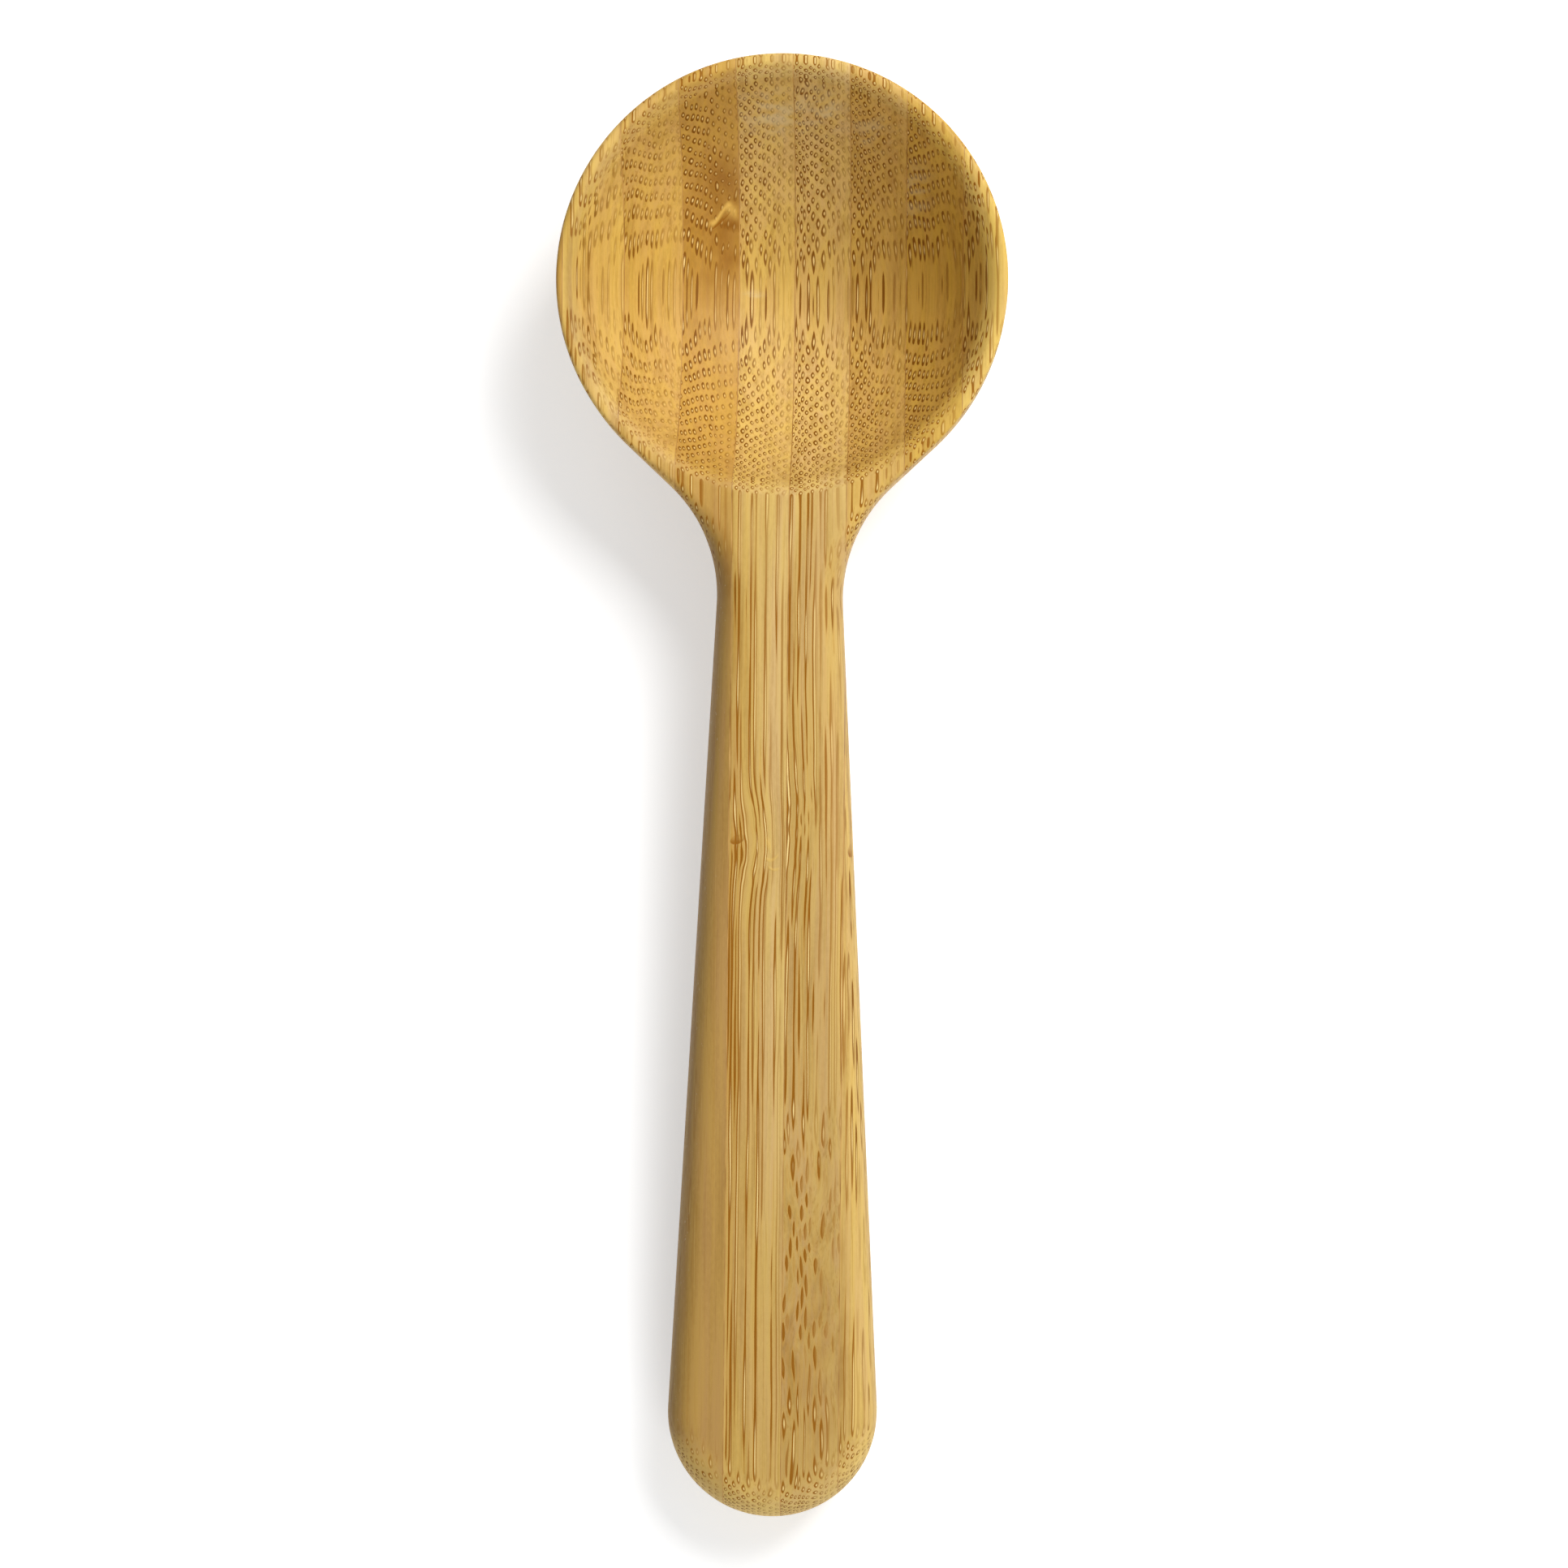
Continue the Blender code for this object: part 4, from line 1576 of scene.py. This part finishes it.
STRIP_GRAIN: dict[str, Grain] = {
    "left_strip_4": Grain((204, 160, 76), 3.1, fibre=1.3),
    "left_strip_3": Grain((221, 183, 99), 11.7),
    "left_strip_2": Grain((213, 173, 89), 23.9, fibre=0.92),
    "left_strip_1": Grain(
        (206, 163, 76),
        37.3,
        handle_flesh=(181, 142, 72),
        fibre=1.35,
        handle_fibre=0.3,
        spacing=0.4,
        # Painted shade and painted sheen on the handle's left edge
        left_edge_shade=0.7,
        streaks=0.5,
        knots=(Knot(-6.7, 11.6, 2.0, 2.6, 0.2, 0.3), Knot(-6.2, 4.4, 1.6, 2.6, 0.1, 0.2)),
        stains=(
            Patch(-7.9, 6.0, 3.4, 8.5, 0.55),
            Patch(-6.7, 11.6, 2.0, 2.6, 0.65),
            Patch(-6.2, 4.4, 1.6, 2.6, 0.6),
            Patch(-6.2, 7.5, 1.4, 0.6, 0.8),
            Patch(-5.5, -31.0, 1.8, 6.0, 0.4),
        ),
        ridges=(
            Ridge(-7.0, 8.5, 1.5, 0.55, 0.85, wave=0.28, paleness=0.8),
            Ridge(-5.8, 9.0, 0.7, 1.0, -0.4),
        ),
        scars=(Scar(-6.9, 7.9, 1.0, 0.2, 0.95),),
    ),
    "centre_strip": Grain(
        (222, 187, 103),
        41.2,
        handle_flesh=(207, 171, 91),
        fibre=1.14,
        handle_fibre=1.8,
        fade=0.36,
        knots=(Knot(-2.2, -58.9, 2.2, 4.6, 0.85, 0.12),),
        stains=(
            Patch(-2.2, -58.9, 2.2, 4.6, 0.06),
            Patch(-2.0, -104.0, 4.0, 14.0, 0.1),
            Patch(-4.3, -36.0, 1.0, 9.0, 0.2),
            Patch(-4.3, -75.0, 1.0, 40.0, 0.2),
            Patch(-2.0, 3.0, 5.0, 7.0, 0.07),
        ),
        ridges=(
            Ridge(-0.9, -58.7, 0.35, 0.9, -1.2, paleness=0.4),
            Ridge(-0.5, -60.4, 0.8, 0.3, 0.3, bend=0.9, paleness=0.4),
            Ridge(-0.3, -61.4, 0.7, 0.26, -0.1, bend=0.7, paleness=0.4),
        ),
        scars=(Scar(-4.1, -58.3, 0.75, 0.5, 0.25),),
        sheen_hazes=(Patch(-1.3, 18.2, 3.6, 2.0, 0.6), Patch(-3.5, 0.2, 0.9, 0.45, 0.5)),
    ),
    "right_strip_1": Grain(
        (225, 191, 111),
        53.6,
        handle_flesh=(203, 168, 95),
        fibre=1.34,
        handle_fibre=1.5,
        wander=1.4,
        dive_start=-84.0,
        dive_depth=5.5,
        knots=(Knot(2.4, -56.0, 2.0, 7.0, 0.4, 0.15),),
        stains=(
            Patch(4.0, -112.0, 4.5, 14.0, 0.28),
            Patch(6.0, -29.0, 1.8, 6.0, 0.15),
            Patch(4.0, 2.0, 5.0, 8.0, 0.12),
        ),
        sheen_hazes=(Patch(3.7, 18.4, 3.4, 1.8, 0.6),),
    ),
    "right_strip_2": Grain((213, 174, 90), 67.4, fibre=1.3, sheen_hazes=(Patch(9.2, 16.2, 2.4, 1.6, 0.35),)),
    "right_strip_2_handle": Grain(
        (215, 180, 100),
        67.4,
        stains=(Patch(7.3, -112.0, 0.9, 14.0, 0.3),),
        scars=(Scar(8.05, -56.3, 0.13, 0.4, 0.0), Scar(7.7, -59.3, 0.34, 0.75, 0.4)),
    ),
    "right_strip_3": Grain((210, 170, 76), 71.8, fibre=1.4, sheen_hazes=(Patch(13.6, 10.4, 1.6, 2.6, 0.4),)),
    "right_strip_4": Grain((222, 187, 98), 83.5, fibre=1.2),
}


@dataclass
class Lamination:
    """The strips and glue films that the carved blank is cut into along the frame's glue planes."""

    blank: bpy.types.Object
    shape: ScoopShape
    board: Board
    record: dict
    left_sliver: str = "left_strip_4"
    edge_margin: float = 0.0002
    smooth_angle: float = math.radians(35.0)
    pieces: list[bpy.types.Object] = field(default_factory=list)

    def build(self) -> None:
        """Cut and dress every piece that the record lists, and remove the blank."""
        glue = GlueFinish(self.board).build()
        for subpart in self.record["subparts"]:
            name = subpart["node"]
            slot = Slot(subpart["material_slot"])
            piece = self.cut_piece(name)
            if slot is Slot.GLUE:
                piece.data.materials.append(glue)
            else:
                piece.data.materials.append(self.strip_finish(name).build())
            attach(piece, BODY)
            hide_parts(name)
            self.pieces.append(piece)
            LOG.info("%s: %d faces", piece.name, len(piece.data.polygons))
        bpy.data.objects.remove(self.blank)

    def strip_finish(self, name: str) -> BambooFinish:
        """Choose a strip's finish.

        Args:
            name: The strip's name.

        Returns:
            The finish, dense and dark from the strip's left glue line on.
        """
        low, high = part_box(name)
        left = low.x * MILLIMETRES
        if name == self.left_sliver:
            left = high.x * MILLIMETRES - FibreLattice.pitch
        return BambooFinish(f"bamboo_{name}", STRIP_GRAIN[name], left, self.board, self.shape)

    def cut_piece(self, name: str) -> bpy.types.Object:
        """Cut one piece out of a copy of the blank.

        Args:
            name: Name of the frame's node that the piece stands for.

        Returns:
            The piece, in the frame's coordinates.
        """
        low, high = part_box(name)
        neck = -self.shape.neck_reach
        piece = self.blank.copy()
        piece.data = self.blank.data.copy()
        piece.name = f"{name}_wood" if "glue" not in name else f"{name}_film"
        bpy.context.scene.collection.objects.link(piece)
        deselect()
        piece.select_set(True)
        bpy.context.view_layer.objects.active = piece
        bpy.ops.object.mode_set(mode="EDIT")
        inner = self.shape.bowl_radius - self.edge_margin
        if low.x > -inner:
            self.trim((low.x, 0.0, 0.0), (-1.0, 0.0, 0.0))
        if high.x < inner:
            self.trim((high.x, 0.0, 0.0), (1.0, 0.0, 0.0))
        if name.endswith("_handle"):
            self.trim((0.0, neck, 0.0), (0.0, 1.0, 0.0))
        elif low.x > self.neck_half or high.x < -self.neck_half:
            self.trim((0.0, neck, 0.0), (0.0, -1.0, 0.0))
        bpy.ops.object.mode_set(mode="OBJECT")
        piece.matrix_world = self.board.matrix
        bpy.ops.object.transform_apply(location=True, rotation=True, scale=True)
        bpy.ops.object.shade_smooth_by_angle(angle=self.smooth_angle)
        return piece

    @property
    def neck_half(self) -> float:
        """Half of the width at the slim neck."""
        return self.shape.half_width(self.shape.neck_reach)

    @staticmethod
    def trim(place: tuple[float, float, float], outward: tuple[float, float, float]) -> None:
        """Cut everything off on the outward side of a plane, and close the cut.

        Args:
            place: Point of the plane.
            outward: Direction of the side that is cut off.
        """
        bpy.ops.mesh.select_all(action="SELECT")
        bpy.ops.mesh.bisect(
            plane_co=place, plane_no=outward, use_fill=True, clear_outer=True, threshold=CUT_THRESHOLD
        )


def seen_directly(bench: NodeBench) -> Signal:
    """Tell the rays that show a surface, directly or in a reflection, from those that only carry light.

    Args:
        bench: Node bench of the material or the world.

    Returns:
        1 for the camera's rays and for those reflected or passed by a clear surface, else 0.
    """
    rays = bench.add("ShaderNodeLightPath").outputs
    seen = Signal(bench, rays["Is Camera Ray"]) + Signal(bench, rays["Is Glossy Ray"])
    return seen + Signal(bench, rays["Is Transmission Ray"])


@dataclass(frozen=True)
class FloorFinish:
    """Plain white floor that shows as white, keeps the shadow, and lets views from below through."""

    name: str = "white_floor"
    paint: Colour = (238, 238, 238)
    roughness: float = 0.9
    glow: float = 0.45

    def build(self) -> bpy.types.Material:
        """Build the material.

        Returns:
            The floor's material.
        """
        material = bpy.data.materials.new(self.name)
        bench = NodeBench(material)
        shader = bench.add("ShaderNodeBsdfPrincipled", inputs={
            "Base Color": linear(self.paint),
            "Roughness": self.roughness,
            "Specular IOR Level": 0.0,
            "Emission Color": WHITE,
            "Emission Strength": seen_directly(bench) * self.glow,
        })
        clear = bench.add("ShaderNodeBsdfTransparent")
        below = bench.add("ShaderNodeNewGeometry").outputs["Backfacing"]
        mix = bench.add("ShaderNodeMixShader")
        for socket, source in zip(mix.inputs, (below, shader.outputs["BSDF"], clear.outputs["BSDF"])):
            bench.feed(socket, source)
        bench.show(mix.outputs["Shader"])
        return material


@dataclass(frozen=True)
class SoftBox:
    """A square studio lamp, placed on the board's frame."""

    name: str
    place: tuple[float, float, float]
    size: float
    power: float
    colour: tuple[float, float, float] = (1.0, 1.0, 1.0)

    def build(self, board: Board, aim: Vector) -> bpy.types.Object:
        """Hang the lamp.

        Args:
            board: The board as it lies at rest.
            aim: Point of the board that it shines on.

        Returns:
            The lamp.
        """
        light = bpy.data.lights.new(self.name, "AREA")
        light.size = self.size
        light.energy = self.power
        light.color = self.colour
        lamp = bpy.data.objects.new(self.name, light)
        lamp.location = board.matrix @ Vector(self.place)
        toward = lamp.location - board.matrix @ aim
        lamp.rotation_euler = toward.to_track_quat("Z", "Y").to_euler()
        bpy.context.scene.collection.objects.link(lamp)
        return lamp


@dataclass(frozen=True)
class Studio:
    """Floor, light and camera: the scoop is seen square to its flat top, from about half a metre."""

    board: Board
    floor_size: float = 6.0
    floor_drop: float = 0.00002
    sky: float = 0.29
    aim: tuple[float, float] = (0.00071, -0.05251)
    distance: float = 0.49951
    lens: float = 110.78
    sensor_width: float = 36.0
    pitch: float = math.radians(1.214)
    roll: float = math.radians(1.483)
    turn: float = math.radians(0.521)
    lamps: tuple[SoftBox, ...] = (
        SoftBox("key_lamp", (0.2, 0.22, 0.36), 0.26, 2.35),
        SoftBox("fill_lamp", (0.14, -0.55, 0.24), 0.4, 1.3, (0.94, 1.0, 1.05)),
    )

    def build(self) -> None:
        """Set the stage up."""
        self.lay_floor()
        self.light_world()
        for lamp in self.lamps:
            lamp.build(self.board, Vector((0.0, 0.0, 0.0)))
        self.set_camera()
        bpy.context.scene.view_settings.view_transform = "Standard"

    def lay_floor(self) -> None:
        """Lay the floor that the scoop rests on."""
        deselect()
        bpy.ops.mesh.primitive_plane_add(size=self.floor_size, location=(0.0, 0.0, -self.floor_drop))
        floor = bpy.context.object
        floor.name = "floor"
        floor.data.materials.append(FloorFinish().build())

    def light_world(self) -> None:
        """Give an even light from all round, and white where the camera looks past the floor."""
        world = bpy.data.worlds.new("studio_world")
        bpy.context.scene.world = world
        bench = NodeBench(world)
        strength = seen_directly(bench) * (1.0 - self.sky) + self.sky
        background = bench.add("ShaderNodeBackground", inputs={"Color": WHITE, "Strength": strength})
        bench.show(background.outputs["Background"], "ShaderNodeOutputWorld")

    def set_camera(self) -> None:
        """Hang the camera over the scoop, as the photograph was taken."""
        data = bpy.data.cameras.new("photo_camera")
        data.lens = self.lens
        data.sensor_width = self.sensor_width
        camera = bpy.data.objects.new("photo_camera", data)
        swing = Euler((self.pitch, self.roll, self.turn)).to_matrix().to_4x4()
        place = Matrix.Translation((*self.aim, 0.0)) @ swing @ Matrix.Translation((0.0, 0.0, self.distance))
        camera.matrix_world = self.board.matrix @ place
        bpy.context.scene.collection.objects.link(camera)
        bpy.context.scene.camera = camera


def main() -> None:
    """Build the scoop's pieces, then the studio round them."""
    logging.basicConfig(level=logging.INFO, format="%(name)s: %(message)s")
    shape = ScoopShape()
    board = Board.from_record(frame["record"], shape.bowl_radius, shape.rim_band)
    blank = CarvedBlank(shape).build()
    LOG.info("carved blank: %d faces", len(blank.data.polygons))
    lamination = Lamination(blank, shape, board, frame["record"])
    lamination.build()
    Studio(board).build()
    LOG.info("%d pieces", len(lamination.pieces))


if __name__ == "__main__":
    main()
